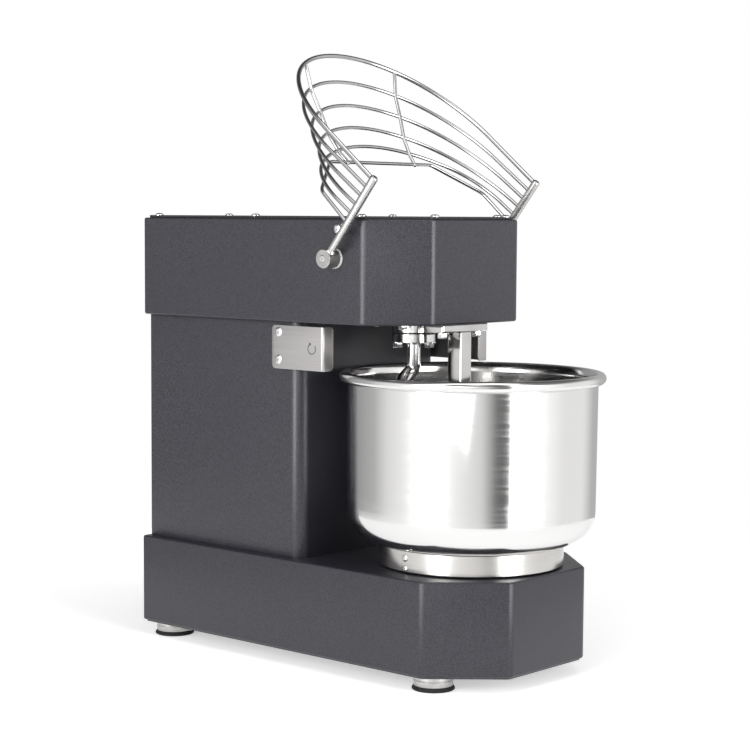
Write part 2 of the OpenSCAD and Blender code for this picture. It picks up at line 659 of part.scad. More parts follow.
// One plate on the +X side, from z up: a flat with two rounded free corners and a lip bent inwards
module side_plate(bend_y, z0) difference() {
    h = plate_top_z - z0;
    union() {
        at(plate_x - plate_t, bend_y, z0) cube([plate_t, plate_back_y - bend_y, h]);
        at(plate_x - plate_lip, bend_y, z0) cube([plate_lip, plate_t, h]);
        for (z = side_screw_heights()) at(col_w/2, plate_back_y - 11, z) rotate([0, 90, 0])
            cylinder(r = 6, h = plate_gap);
    }
    for (z = side_screw_heights()) at(col_w/2 - cut, plate_back_y - 11, z)
        rotate([0, 90, 0]) cylinder(r = bolt_shank_r, h = plate_gap + plate_t + 2*cut);
    for (s = [0, 1]) at(plate_x - plate_t - cut, plate_back_y, z0 + s*h) rotate([0, 90, 0])
        linear_extrude(plate_t + 2*cut) difference() {
            square(2*plate_corner_r, center = true);
            translate([(s*2 - 1)*plate_corner_r, -plate_corner_r]) circle(r = plate_corner_r);
        }
    for (s = [0, 1]) at(plate_x - plate_lip, bend_y - cut, z0 + s*h) rotate([-90, 0, 0])
        linear_extrude(plate_t + 2*cut) difference() {
            square(2*plate_corner_r, center = true);
            translate([plate_corner_r, (s*2 - 1)*plate_corner_r]) circle(r = plate_corner_r);
        }
}
function side_screw_heights() = [rim_z + 10, plate_top_z - 7.5];

// The left plate stops short of the bowl's rim. The right one reaches over it, so it starts above the rim.
module side_guard_left() color([0.78, 0.78, 0.77]) placed()
    mirror([1, 0, 0]) side_plate(left_bend_y, rim_z - 0.5);
module side_guard_right() color([0.78, 0.78, 0.77]) placed() side_plate(right_bend_y, rim_z + 1.5);
module side_guard_screws() color("silver") placed() both_sides() for (z = side_screw_heights())
    at(plate_x, plate_back_y - 11, z) rotate([0, 90, 0])
        dome_screw(5.2, 2.6, bolt_shank_r, plate_gap + plate_t + sheet + 3);

// ---------------------------------------------------------------- wire guard, drawn raised

// Along an arm from its pivot, and square to it towards the back: both in the Y-Z plane
arm_dir = [-cos(raised_angle), sin(raised_angle)];
back_dir = [sin(raised_angle), cos(raised_angle)];
function stop_place() = [pivot_y, pivot_z] + 34*arm_dir + (arm_d/2 + 4.8)*back_dir;

// Puts a shape drawn with Y along back_dir and Z along the arm into the raised guard
module raised() at(0, pivot_y, pivot_z) rotate([90 - raised_angle, 0, 0]) children();

module rod_between(p, q, r) let (v = q - p) at(p.x, p.y, p.z)
    rotate([0, acos(v.z/norm(v)), atan2(v.y, v.x)]) cylinder(r = r, h = norm(v), $fn = 24);

// A wire lies in a plane of its own, x across the guard and t away from the arms. It leaves both arms
// straight, turns two corners and ends in a front arc that is tangent to them.
function wire_s(i) = arm_len - i*wire_pitch;
function lead_end(i) = max(1, wire_depth[i] - wire_corner_r[i] - 0.34*(arm_x - wire_corner_r[i]));
function front_r(i) = let (r = wire_corner_r[i], a = arm_x - r, b = wire_depth[i] - lead_end(i))
    a < 1 ? r : (a*a + b*b - r*r)/(2*(b - r));
// Where the corner meets the front arc, as an angle from +X
function front_start(i) = let (a = arm_x - wire_corner_r[i])
    a < 1 ? 0 : atan2(lead_end(i) - wire_depth[i] + front_r(i), a);

module in_wire_plane(i) at(0, 0, wire_s(i)) rotate([wire_lean[i], 0, 0]) children();

module arc_rod(middle, radius, from, to, r) at(0, middle, 0) rotate([0, 0, from])
    rotate_extrude(angle = to - from, $fn = 96) translate([radius, 0]) circle(r = r, $fn = 24);

module bowed_wire(i, r) in_wire_plane(i) {
    start = front_start(i);
    arc_rod(wire_depth[i] - front_r(i), front_r(i), start, 180 - start, r);
    both_sides() {
        if (start > 0) at(arm_x - wire_corner_r[i], 0, 0) arc_rod(lead_end(i), wire_corner_r[i], 0, start, r);
        rod_between([arm_x, 0, 0], [arm_x, lead_end(i), 0], r);
        at(arm_x, lead_end(i), 0) sphere(r = r*1.03, $fn = 24);
        if (start > 0) at(front_r(i)*cos(start), wire_depth[i] - front_r(i) + front_r(i)*sin(start), 0)
            sphere(r = r*1.03, $fn = 24);
    }
}

module last_wire(r) in_wire_plane(5) {
    rod_between([-last_corner.x, last_corner.y, 0], [last_corner.x, last_corner.y, 0], r);
    both_sides() {
        rod_between([arm_x, 0, 0], [last_kink.x, last_kink.y, 0], r);
        rod_between([last_kink.x, last_kink.y, 0], [last_corner.x, last_corner.y, 0], r);
        at(last_kink.x, last_kink.y, 0) sphere(r = r*1.03, $fn = 24);
        at(last_corner.x, last_corner.y, 0) sphere(r = r*1.03, $fn = 24);
    }
}

// Where a rib crosses wire i, in the frame of the raised guard
function rib_x(i) = rib_rim_x + (rib_top_x - rib_rim_x)*i/5;
function rib_t(i) = i == 5 ? last_corner.y
    : wire_depth[i] - front_r(i) + sqrt(pow(front_r(i), 2) - pow(rib_x(i), 2));
function rib_point(i) = [rib_x(i), rib_t(i)*cos(wire_lean[i]), wire_s(i) + rib_t(i)*sin(wire_lean[i])];

module guard_wires() color([0.75, 0.75, 0.77]) placed() raised() {
    bowed_wire(0, rim_wire_d/2);
    for (i = [1:4]) bowed_wire(i, wire_d/2);
    last_wire(wire_d/2);
}

module guard_ribs() color([0.75, 0.75, 0.77]) placed() raised() both_sides() for (i = [0:4]) {
    rod_between(rib_point(i), rib_point(i + 1), wire_d/2 - 0.2);
    at(rib_point(i).x, rib_point(i).y, rib_point(i).z) sphere(r = wire_d/2 - 0.1, $fn = 24);
}

module guard_arms() color([0.75, 0.75, 0.77]) placed() both_sides() {
    raised() {
        at(arm_x, 0, boss_r - 2) cylinder(r = arm_d/2, h = arm_len - boss_r + 4);
        at(arm_x, 0, arm_len + 2) sphere(r = arm_d/2, $fn = 32);
    }
    difference() {
        at(boss_in, pivot_y, pivot_z) rotate([0, 90, 0]) cylinder(r = boss_r, h = boss_out - boss_in);
        at(boss_in - cut, pivot_y, pivot_z) rotate([0, 90, 0])
            cylinder(r = pin_r, h = boss_out - boss_in - 3 + cut);
    }
}

module guard_pivot_pins() color([0.6, 0.6, 0.62]) placed() both_sides() {
    at(head_w/2 - 20, pivot_y, pivot_z) rotate([0, 90, 0])
        cylinder(r = pin_r, h = boss_out - 3 - head_w/2 + 20);
    at(head_w/2 - 20, pivot_y, pivot_z) rotate([0, 90, 0]) cylinder(r = 11, h = 5);
    at(head_w/2 - 20, pivot_y, pivot_z) rotate([-90 - raised_angle, 0, 0]) at(0, 0, -5) cube([5, cam_r, 10]);
}

module guard_set_screws() color([0.3, 0.3, 0.32]) placed() both_sides()
    at(boss_out, pivot_y, pivot_z) rotate([0, 90, 0]) difference() {
        cylinder(r = 3.4, h = 1.6);
        at(0, 0, 0.6) cylinder(r = 1.8, h = 2, $fn = 6);
    }

module guard_bushes() color([0.9, 0.9, 0.88]) placed() both_sides()
    at(0, pivot_y, pivot_z) rotate([0, 90, 0]) {
    tube(bush_r, pin_r + running, head_w/2 - 8, 8);
    tube(bush_r + 2, pin_r + running, head_w/2, 2);
}

module guard_stop_screws() color("silver") placed() both_sides()
    at(head_w/2 - sheet - 4, stop_place().x, stop_place().y) rotate([0, 90, 0]) {
        cylinder(r = bolt_shank_r, h = sheet + 4);
        at(0, 0, sheet + 4) cylinder(r = stop_r, h = arm_gap - 2);
        at(0, 0, sheet + arm_gap + 2) dome_screw(stop_r, 2.2, 1, 1);
    }

module guard_switch() color([0.85, 0.2, 0.15]) placed() both_sides() {
    at(head_w/2 - 24, pivot_y + cam_r + 4, pivot_z - 14) cube([13, 18, 28]);
    at(head_w/2 - 11, pivot_y + cam_r + 8, pivot_z - 12) cube([11 - sheet, 6, 6]);
    at(head_w/2 - 19, pivot_y + cam_r + 2, pivot_z - 2) cube([4, 2, 4]);
}

// ---------------------------------------------------------------- controls

module start_button() color([0.1, 0.55, 0.25]) placed() at(panel_x, button_y, start_z) rotate([0, 90, 0]) {
    at(0, 0, 3) cylinder(r = 11, h = 5);
    at(0, 0, -14) cylinder(r = stem_r, h = 17);
}

module stop_button() color([0.75, 0.08, 0.06]) placed() at(panel_x, button_y, stop_z) rotate([0, 90, 0]) {
    at(0, 0, 9) cylinder(r = 18, h = 8);
    at(0, 0, -14) cylinder(r = stem_r, h = 23);
}

module timer_knob() color([0.12, 0.12, 0.13]) placed() at(panel_x, knob_y, knob_z) rotate([0, 90, 0]) {
    at(0, 0, 0.5) cylinder(r = 19, h = 4);
    at(0, 0, 4.5) cylinder(r1 = 14, r2 = 12.5, h = 14);
    at(0, 0, -16) cylinder(r = stem_r, h = 17);
    at(-13, -1.5, 18.5) cube([13, 3, 1.2]);
}

base_casing();
base_bottom_plate();
bottom_plate_screws();
foot_sleeves();
foot_pads();
column_casing();
back_panel();
back_panel_screws();
control_panel();
cable_gland();
head_casing();
head_bottom_plate();
head_top_cover();
top_cover_screws();
motor_housing();
motor_mount();
motor_bolts();
lay_bearing_blocks();
spiral_bearing_housing();
spiral_bearings();
spiral_housing_bolts();
bowl_bearing_housing();
bowl_bearings();
drive_belt();
spiral_chain();
bowl_chain();
breaker_bar_bracket();
breaker_bar();
bracket_bolts();
side_guard_left();
side_guard_right();
side_guard_screws();
guard_bushes();
guard_stop_screws();
guard_switch();
bowl();
bowl_ring();
ring_screws();
bowl_hub();
bowl_sprocket();
spiral_shaft();
spiral_sprocket();
spiral_tool();
flange_gasket();
flange_bolts();
lay_shaft();
lay_pulley();
lay_spiral_sprocket();
lay_bowl_sprocket();
motor_shaft();
motor_pulley();
guard_wires();
guard_ribs();
guard_arms();
guard_pivot_pins();
guard_set_screws();
start_button();
stop_button();
timer_knob();
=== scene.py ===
import math

import bmesh
import bpy
from mathutils import Matrix, Vector


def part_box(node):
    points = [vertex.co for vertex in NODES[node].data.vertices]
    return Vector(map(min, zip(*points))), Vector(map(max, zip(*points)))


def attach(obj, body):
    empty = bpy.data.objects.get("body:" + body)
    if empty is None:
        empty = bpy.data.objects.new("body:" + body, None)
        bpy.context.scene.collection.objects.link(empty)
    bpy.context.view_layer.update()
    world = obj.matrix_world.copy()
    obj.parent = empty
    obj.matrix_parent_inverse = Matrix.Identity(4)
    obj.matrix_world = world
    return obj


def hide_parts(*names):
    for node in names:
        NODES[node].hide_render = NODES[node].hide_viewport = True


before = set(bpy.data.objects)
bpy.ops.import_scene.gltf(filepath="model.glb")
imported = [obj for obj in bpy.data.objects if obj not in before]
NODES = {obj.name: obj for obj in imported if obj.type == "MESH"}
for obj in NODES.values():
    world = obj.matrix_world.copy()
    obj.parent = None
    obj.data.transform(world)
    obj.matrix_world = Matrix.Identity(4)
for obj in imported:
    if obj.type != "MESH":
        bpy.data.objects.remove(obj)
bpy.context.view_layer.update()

MM = 0.001

# ---------------------------------------------------------------- places, all from the frame

base_low, base_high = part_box("base_casing")
column_low, column_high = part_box("column_casing")
head_low, head_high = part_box("head_casing")
bowl_low, bowl_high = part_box("bowl")
ring_low, ring_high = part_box("bowl_ring")
cover_low, cover_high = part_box("head_top_cover")

bowl_y = (ring_low.y + ring_high.y) / 2
bowl_z = bowl_low.z
rim_z = bowl_high.z
rim_r = (bowl_high.x - bowl_low.x) / 2
ring_r = (ring_high.x - ring_low.x) / 2
bead_r = 6 * MM
wall_r = rim_r - bead_r - 2.5 * MM
wall_t = 2 * MM
spiral_y = bowl_y + 86 * MM

sheet = 2 * MM
bend_r = 11 * MM
base_chamfer = (64 * MM, 72 * MM)
head_chamfer = (55 * MM, 55 * MM)
column_corner_r = 15 * MM

# The wire guard hangs on this line, and is drawn raised
pivot = Vector((0, bowl_y + 90 * MM, head_high.z - 43 * MM))
raised_angle = math.radians(51.5)
arm_dir = Vector((0, -math.cos(raised_angle), math.sin(raised_angle)))
back_dir = Vector((0, math.sin(raised_angle), math.cos(raised_angle)))
arm_x = head_high.x + 13.6 * MM
arm_len = 108 * MM
arm_r = 4.5 * MM
boss_r = 10.5 * MM
boss_in = head_high.x + 2.5 * MM
boss_out = arm_x + 6.4 * MM
wire_pitch = 11.8 * MM
# Each wire, from the tips of the arms down: depth from the arms, lean in degrees, radius of its corners
WIRES = [(233.5 * MM, 0.6, arm_x), (209.5 * MM, -1.5, arm_x), (182.5 * MM, -2.3, arm_x),
         (158.5 * MM, -3.3, arm_x), (131.5 * MM, -1.8, 86 * MM), (103 * MM, 3, 0)]
rim_wire_r = 2.5 * MM
wire_r = 2 * MM


# ---------------------------------------------------------------- materials

class Finish:
    """A procedural material under construction: a Principled shader and helpers that feed it."""

    def __init__(self, name, colour, rough, metal=0.0, spec=0.5, coat=0.0):
        self.mat = bpy.data.materials.new(name)
        self.mat.use_nodes = True
        self.tree = self.mat.node_tree
        self.shader = self.tree.nodes["Principled BSDF"]
        self.shader.inputs["Base Color"].default_value = (*colour, 1)
        self.shader.inputs["Roughness"].default_value = rough
        self.shader.inputs["Metallic"].default_value = metal
        self.shader.inputs["Specular IOR Level"].default_value = spec
        self.shader.inputs["Coat Weight"].default_value = coat
        self.shader.inputs["Coat Roughness"].default_value = 0.15
        self.coords = self.node("ShaderNodeTexCoord").outputs["Object"]
        self.bump_out = None

    def node(self, kind, **settings):
        made = self.tree.nodes.new(kind)
        for key, value in settings.items():
            setattr(made, key, value)
        return made

    def link(self, a, b):
        self.tree.links.new(a, b)

    def noise(self, scale, stretch=(1, 1, 1), detail=3.0, rough=0.55):
        """Noise on Object coordinates, stretched along the axes whose factor is small."""
        place = self.node("ShaderNodeMapping")
        place.inputs["Scale"].default_value = stretch
        self.link(self.coords, place.inputs["Vector"])
        noise = self.node("ShaderNodeTexNoise")
        noise.inputs["Scale"].default_value = scale
        noise.inputs["Detail"].default_value = detail
        noise.inputs["Roughness"].default_value = rough
        self.link(place.outputs["Vector"], noise.inputs["Vector"])
        return noise.outputs["Fac"]

    def between(self, fac, low, high, start=0.3, end=0.7):
        """Maps a noise to a value from low to high."""
        span = self.node("ShaderNodeMapRange")
        for key, value in (("From Min", start), ("From Max", end), ("To Min", low), ("To Max", high)):
            span.inputs[key].default_value = value
        self.link(fac, span.inputs["Value"])
        return span.outputs["Result"]

    def vary_rough(self, fac, low, high):
        self.link(self.between(fac, low, high), self.shader.inputs["Roughness"])

    def vary_colour(self, fac, dark, light, start=0.35, end=0.65):
        ramp = self.node("ShaderNodeValToRGB")
        ramp.color_ramp.elements[0].position = start
        ramp.color_ramp.elements[1].position = end
        ramp.color_ramp.elements[0].color = (*dark, 1)
        ramp.color_ramp.elements[1].color = (*light, 1)
        self.link(fac, ramp.inputs["Fac"])
        self.link(ramp.outputs["Color"], self.shader.inputs["Base Color"])

    def bump(self, fac, strength, distance):
        """Adds a relief. Each call stacks on the last one."""
        relief = self.node("ShaderNodeBump")
        relief.inputs["Strength"].default_value = strength
        relief.inputs["Distance"].default_value = distance
        self.link(fac, relief.inputs["Height"])
        if self.bump_out is not None:
            self.link(self.bump_out, relief.inputs["Normal"])
        self.bump_out = relief.outputs["Normal"]
        self.link(self.bump_out, self.shader.inputs["Normal"])


def shade(colour, factor):
    return tuple(min(1, c * factor) for c in colour)


def powder_coat(name, colour, rough):
    f = Finish(name, colour, rough, spec=0.52)
    grain = f.noise(760, detail=2)
    f.vary_colour(grain, shade(colour, 0.5), shade(colour, 1.6))
    f.vary_rough(f.noise(9, detail=4), rough - 0.03, rough + 0.05)
    f.bump(grain, 0.7, 0.00016)
    f.bump(f.noise(320, detail=3), 0.18, 0.0002)
    return f.mat


def spun_steel(name, colour, rough):
    """Polished sheet, spun on a lathe: rings around Z, and faint ripples down the wall."""
    f = Finish(name, colour, rough, metal=1)
    f.vary_rough(f.noise(60, (0.15, 0.15, 6)), rough - 0.03, rough + 0.05)
    f.bump(f.noise(700, (0.02, 0.02, 1.6), detail=2), 0.1, 0.00003)
    f.bump(f.noise(26, (1, 1, 0.06), detail=2), 0.12, 0.0009)
    return f.mat


def brushed_steel(name, colour, rough, along="y"):
    f = Finish(name, colour, rough, metal=1)
    stretch = {"x": (0.02, 1, 1), "y": (1, 0.02, 1), "z": (1, 1, 0.02)}[along]
    lines = f.noise(1500, stretch, detail=4, rough=0.7)
    f.vary_colour(lines, shade(colour, 0.95), shade(colour, 1.04))
    f.vary_rough(f.noise(400, stretch), rough - 0.04, rough + 0.05)
    f.bump(lines, 0.1, 0.00004)
    return f.mat


def bright_steel(name, colour, rough, grain=90):
    """Electropolished wire, rod and fasteners, with slight handling marks."""
    f = Finish(name, colour, rough, metal=1)
    f.vary_rough(f.noise(grain, detail=5), rough - 0.04, rough + 0.08)
    f.vary_colour(f.noise(grain * 0.4), shade(colour, 0.92), shade(colour, 1.05))
    f.bump(f.noise(grain * 2, detail=2), 0.05, 0.00004)
    return f.mat


def cast_iron(name, colour):
    f = Finish(name, colour, 0.55, spec=0.4)
    f.vary_colour(f.noise(60, detail=5), shade(colour, 0.8), shade(colour, 1.25))
    f.bump(f.noise(500, detail=4), 0.4, 0.0003)
    return f.mat


def rubber(name, colour):
    f = Finish(name, colour, 0.75, spec=0.3)
    f.vary_colour(f.noise(200, detail=4), shade(colour, 0.8), shade(colour, 1.4))
    f.bump(f.noise(900), 0.25, 0.0001)
    return f.mat


def moulded(name, colour, rough):
    f = Finish(name, colour, rough, coat=0.3)
    f.vary_rough(f.noise(120, detail=4), rough - 0.04, rough + 0.08)
    f.bump(f.noise(1400, detail=2), 0.1, 0.00005)
    return f.mat


COAT_COLOUR = (0.019, 0.0188, 0.025)
dark_coat = powder_coat("graphite_powder_coat", COAT_COLOUR, 0.33)
cover_coat = powder_coat("black_cover_coat", (0.012, 0.012, 0.014), 0.45)
inner_coat = powder_coat("inner_sheet_coat", (0.03, 0.03, 0.034), 0.5)
bowl_steel = spun_steel("spun_bowl_steel", (0.75, 0.745, 0.74), 0.12)
band_steel = spun_steel("band_steel", (0.56, 0.545, 0.53), 0.22)
plate_steel = brushed_steel("brushed_plate_steel", (0.415, 0.403, 0.398), 0.4, "y")
panel_steel = brushed_steel("brushed_panel_steel", (0.56, 0.55, 0.545), 0.4, "z")
bar_steel = bright_steel("ground_bar_steel", (0.6, 0.59, 0.58), 0.08, 40)
tool_steel = bright_steel("polished_tool_steel", (0.74, 0.73, 0.72), 0.14, 60)
wire_steel = bright_steel("polished_guard_wire", (0.48, 0.48, 0.49), 0.1, 60)
screw_steel = bright_steel("bright_screw_steel", (0.76, 0.76, 0.77), 0.2, 250)
boss_steel = bright_steel("turned_boss_steel", (0.5, 0.49, 0.48), 0.3, 300)
machined = brushed_steel("machined_steel", (0.5, 0.5, 0.51), 0.32, "z")
chain_steel = bright_steel("oiled_chain_steel", (0.2, 0.18, 0.16), 0.35, 200)
housing_iron = cast_iron("painted_housing_iron", (0.06, 0.065, 0.07))
black_rubber = rubber("black_rubber", (0.012, 0.012, 0.013))
black_nylon = moulded("black_nylon", (0.015, 0.015, 0.016), 0.4)
green_cap = moulded("green_button_plastic", (0.02, 0.3, 0.07), 0.25)
red_cap = moulded("red_button_plastic", (0.5, 0.018, 0.012), 0.25)
white_nylon = moulded("white_nylon", (0.6, 0.6, 0.57), 0.45)
engraving = moulded("engraved_recess", (0.06, 0.058, 0.055), 0.6)
tick_paint = moulded("dial_paint", (0.55, 0.55, 0.54), 0.5)


# ---------------------------------------------------------------- shape helpers

def finish_piece(name, bm, material, body, replaces=(), sharp=32):
    """Turns a bmesh, already in place, into a piece that rides on a body."""
    bmesh.ops.remove_doubles(bm, verts=bm.verts, dist=1e-6)
    bmesh.ops.recalc_face_normals(bm, faces=bm.faces)
    mesh = bpy.data.meshes.new(name)
    bm.to_mesh(mesh)
    bm.free()
    mesh.materials.append(material)
    mesh.polygons.foreach_set("use_smooth", [True] * len(mesh.polygons))
    mesh.set_sharp_from_angle(angle=math.radians(sharp))
    piece = bpy.data.objects.new(name, mesh)
    bpy.context.scene.collection.objects.link(piece)
    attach(piece, body)
    if replaces:
        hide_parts(*replaces)
    return piece


def merge_into(bm, part, matrix=Matrix.Identity(4)):
    """Adds a copy of one bmesh, moved by a matrix, to another."""
    bmesh.ops.transform(part, matrix=matrix, verts=part.verts)
    scratch = bpy.data.meshes.new("scratch")
    part.to_mesh(scratch)
    part.free()
    bm.from_mesh(scratch)
    bpy.data.meshes.remove(scratch)


def unit_arc(centre, radius, start, end, steps):
    """Points of an arc in a flat profile, angles in degrees."""
    angles = [math.radians(start + (end - start) * i / steps) for i in range(steps + 1)]
    return [(centre[0] + radius * math.cos(a), centre[1] + radius * math.sin(a)) for a in angles]


def turned(profile, steps=48):
    """A lathe part around Z, from (radius, height) points."""
    bm = bmesh.new()
    verts = [bm.verts.new((r, 0, z)) for r, z in profile]
    edges = [bm.edges.new(pair) for pair in zip(verts, verts[1:])]
    bmesh.ops.spin(bm, geom=verts + edges, cent=(0, 0, 0), axis=(0, 0, 1), dvec=(0, 0, 0),
                   angle=2 * math.pi, steps=steps, use_merge=True, use_duplicate=False)
    bmesh.ops.remove_doubles(bm, verts=bm.verts, dist=1e-7)
    bmesh.ops.recalc_face_normals(bm, faces=bm.faces)
    return bm


def facing(place, direction):
    """The matrix that takes +Z to a direction, at a place."""
    turn = Vector((0, 0, 1)).rotation_difference(Vector(direction))
    return Matrix.Translation(place) @ turn.to_matrix().to_4x4()


def bevel_edges(bm, edges, offset, segments=3):
    bmesh.ops.bevel(bm, geom=list(edges), offset=offset, offset_type="OFFSET", segments=segments,
                    profile=0.5, affect="EDGES", material=-1, clamp_overlap=True)


def upright(edge):
    a, b = edge.verts
    return abs(a.co.z - b.co.z) > 1e-5 and abs(a.co.x - b.co.x) < 1e-6 and abs(a.co.y - b.co.y) < 1e-6


def level_rim(edge, z):
    return all(abs(v.co.z - z) < 1e-6 for v in edge.verts)


def block(low, high, edge_r=0.6 * MM, upright_r=0.0):
    """A plate or bar with softened edges, and larger radii on its upright edges if asked."""
    bm = bmesh.new()
    size = Vector(high) - Vector(low)
    middle = (Vector(high) + Vector(low)) / 2
    bmesh.ops.create_cube(bm, size=1, matrix=Matrix.Translation(middle) @ Matrix.Diagonal((*size, 1)))
    if upright_r:
        bevel_edges(bm, [e for e in bm.edges if upright(e)], upright_r, 6)
        rims = [e for e in bm.edges if level_rim(e, low[2]) or level_rim(e, high[2])]
        bevel_edges(bm, rims, edge_r, 2)
    else:
        bevel_edges(bm, bm.edges, edge_r, 2)
    return bm


def prism(outline, z_low, z_high, bends, rim_r_small):
    """A closed box on an outline. bends gives the bend radius of each upright edge."""
    bm = bmesh.new()
    face = bm.faces.new([bm.verts.new((x, y, z_low)) for x, y in outline])
    grown = bmesh.ops.extrude_face_region(bm, geom=[face])
    moved = [v for v in grown["geom"] if isinstance(v, bmesh.types.BMVert)]
    bmesh.ops.translate(bm, verts=moved, vec=(0, 0, z_high - z_low))
    count = len(outline)
    for i, radius in enumerate(bends):
        here, before, after = (Vector(outline[k % count]) for k in (i, i - 1, i + 1))
        turn = (here - before).angle(after - here)
        edges = [e for e in bm.edges if upright(e) and (Vector(e.verts[0].co.xy) - here).length < 1e-6]
        if radius:
            bevel_edges(bm, edges, radius * math.tan(turn / 2), 8)
    rims = [e for e in bm.edges if level_rim(e, z_low) or level_rim(e, z_high)]
    bevel_edges(bm, rims, rim_r_small, 3)
    bmesh.ops.recalc_face_normals(bm, faces=bm.faces)
    return bm


def open_underneath(bm, z_low, wall, depth):
    """Turns a closed box into a shell that is open below, as deep as asked."""
    floor_face = max((f for f in bm.faces if abs(f.calc_center_median().z - z_low) < 1e-5),
                     key=lambda f: f.calc_area())
    bmesh.ops.inset_region(bm, faces=[floor_face], thickness=wall, use_even_offset=True)
    grown = bmesh.ops.extrude_face_region(bm, geom=[floor_face])
    moved = [v for v in grown["geom"] if isinstance(v, bmesh.types.BMVert)]
    bmesh.ops.translate(bm, verts=moved, vec=(0, 0, depth))
    bmesh.ops.delete(bm, geom=[floor_face], context="FACES")
    return bm


def chamfered_outline(low, high, chamfer, inset=0.0):
    """A casing's outline with its two front corners cut off, counted from its box."""
    slope = math.hypot(*chamfer)
    x, y, back = high.x - inset, low.y + inset, high.y - inset
    side_y = low.y + chamfer[1] + inset * (slope - chamfer[1]) / chamfer[0]
    front_x = high.x - chamfer[0] - inset * (slope - chamfer[0]) / chamfer[1]
    return [(x, back), (-x, back), (-x, side_y), (-front_x, y), (front_x, y), (x, side_y)]


def bent_rod(bm, path, radius, sides=12, round_ends=False):
    """Sweeps a round rod along a path by extruding its ring from point to point."""
    points = [Vector(p) for p in path]
    last = len(points) - 1
    tangents = [(points[min(i + 1, last)] - points[max(i - 1, 0)]).normalized() for i in range(last + 1)]
    turn = Vector((0, 0, 1)).rotation_difference(tangents[0])
    place = Matrix.Translation(points[0]) @ turn.to_matrix().to_4x4()
    ring = bmesh.ops.create_circle(bm, cap_ends=False, segments=sides, radius=radius, matrix=place)["verts"]
    edges = list({e for v in ring for e in v.link_edges})
    ends = [list(ring)]
    for i in range(1, last + 1):
        turn = tangents[i - 1].rotation_difference(tangents[i]) @ turn
        after = Matrix.Translation(points[i]) @ turn.to_matrix().to_4x4()
        grown = bmesh.ops.extrude_edge_only(bm, edges=edges)["geom"]
        ring = [v for v in grown if isinstance(v, bmesh.types.BMVert)]
        edges = [e for e in grown if isinstance(e, bmesh.types.BMEdge)
                 and e.verts[0] in ring and e.verts[1] in ring]
        bmesh.ops.transform(bm, matrix=after @ place.inverted(), verts=ring)
        place = after
    ends.append(ring)
    for ring in ends:
        edges = list({e for v in ring for e in v.link_edges if e.is_boundary})
        made = bmesh.ops.contextual_create(bm, geom=edges)["faces"]
        if round_ends:
            bevel_edges(bm, edges, radius * 0.55, 4)


def dome_screw(radius, height, skirt=0.4 * MM):
    """A low domed head on z = 0 with a hexagon socket."""
    socket = radius * 0.42
    wall = height * 0.3
    dome = (radius ** 2 + (height - wall) ** 2) / (2 * (height - wall))
    edge = math.degrees(math.asin(radius / dome))
    inner = math.degrees(math.asin(socket * 1.25 / dome))
    steps = 6
    angles = [math.radians(edge + (inner - edge) * i / steps) for i in range(steps + 1)]
    profile = [(0, -skirt), (radius, -skirt)]
    profile += [(dome * math.sin(a), height - dome + dome * math.cos(a)) for a in angles]
    bm = turned(profile, 28)
    top = profile[-1][1]
    rim = [e for e in bm.edges if e.is_boundary and level_rim(e, top)]
    hexagon = bmesh.ops.create_circle(bm, cap_ends=False, segments=6, radius=socket,
                                      matrix=Matrix.Translation((0, 0, top - 0.05 * MM)))["verts"]
    hex_edges = list({e for v in hexagon for e in v.link_edges})
    bmesh.ops.bridge_loops(bm, edges=rim + hex_edges)
    grown = bmesh.ops.extrude_edge_only(bm, edges=hex_edges)["geom"]
    deep = [v for v in grown if isinstance(v, bmesh.types.BMVert)]
    bmesh.ops.translate(bm, verts=deep, vec=(0, 0, -height * 0.6))
    deep_edges = [e for e in grown if isinstance(e, bmesh.types.BMEdge) and all(v in deep for v in e.verts)]
    bmesh.ops.contextual_create(bm, geom=deep_edges)
    return bm


def hex_head(radius, height, washer=0.0):
    """A hexagon bolt head that hangs below z = 0, chamfered, over a washer if asked."""
    bm = bmesh.new()
    bmesh.ops.create_cone(bm, cap_ends=True, segments=6, radius1=radius, radius2=radius, depth=height,
                          matrix=Matrix.Translation((0, 0, -height / 2 - washer)))
    lower = [e for e in bm.edges if level_rim(e, -height - washer)]
    bevel_edges(bm, lower, radius * 0.13, 2)
    if washer:
        bmesh.ops.create_cone(bm, cap_ends=True, segments=32, radius1=radius * 1.25, radius2=radius * 1.25,
                              depth=washer, matrix=Matrix.Translation((0, 0, -washer / 2)))
    return bm


def screws(name, places, radius, height, node, body="root", shank=0.0):
    """A set of domed screws. places holds (point, outward direction) pairs."""
    bm = bmesh.new()
    for point, out in places:
        merge_into(bm, dome_screw(radius, height), facing(point, out))
        if shank:
            pin = turned([(0, -shank), (radius * 0.55, -shank), (radius * 0.55, 0)], 16)
            merge_into(bm, pin, facing(point, out))
    return finish_piece(name, bm, screw_steel, body, [node])


# ---------------------------------------------------------------- casings

# Radii of a casing's two upright bends at the back, and of its edges above and below
back_bend_r = 5.5 * MM
casing_edge_r = 2.4 * MM


def casing(node, chamfer, open_depth):
    """A bent sheet box with two front chamfers, open below as deep as asked."""
    low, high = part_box(node)
    bends = [back_bend_r] * 2 + [bend_r] * 4
    bm = prism(chamfered_outline(low, high, chamfer), low.z, high.z, bends, casing_edge_r)
    open_underneath(bm, low.z, sheet, open_depth)
    return finish_piece(node + "_shell", bm, dark_coat, "root", [node])


casing("base_casing", base_chamfer, 10 * MM)
casing("head_casing", head_chamfer, 12 * MM)

column_outline = [(column_high.x, column_high.y), (column_low.x, column_high.y),
                  (column_low.x, column_low.y), (column_high.x, column_low.y)]
column = prism(column_outline, column_low.z, column_high.z,
               [3 * MM, 3 * MM, column_corner_r, column_corner_r], 0.4 * MM)
finish_piece("column_shell", column, dark_coat, "root", ["column_casing"])

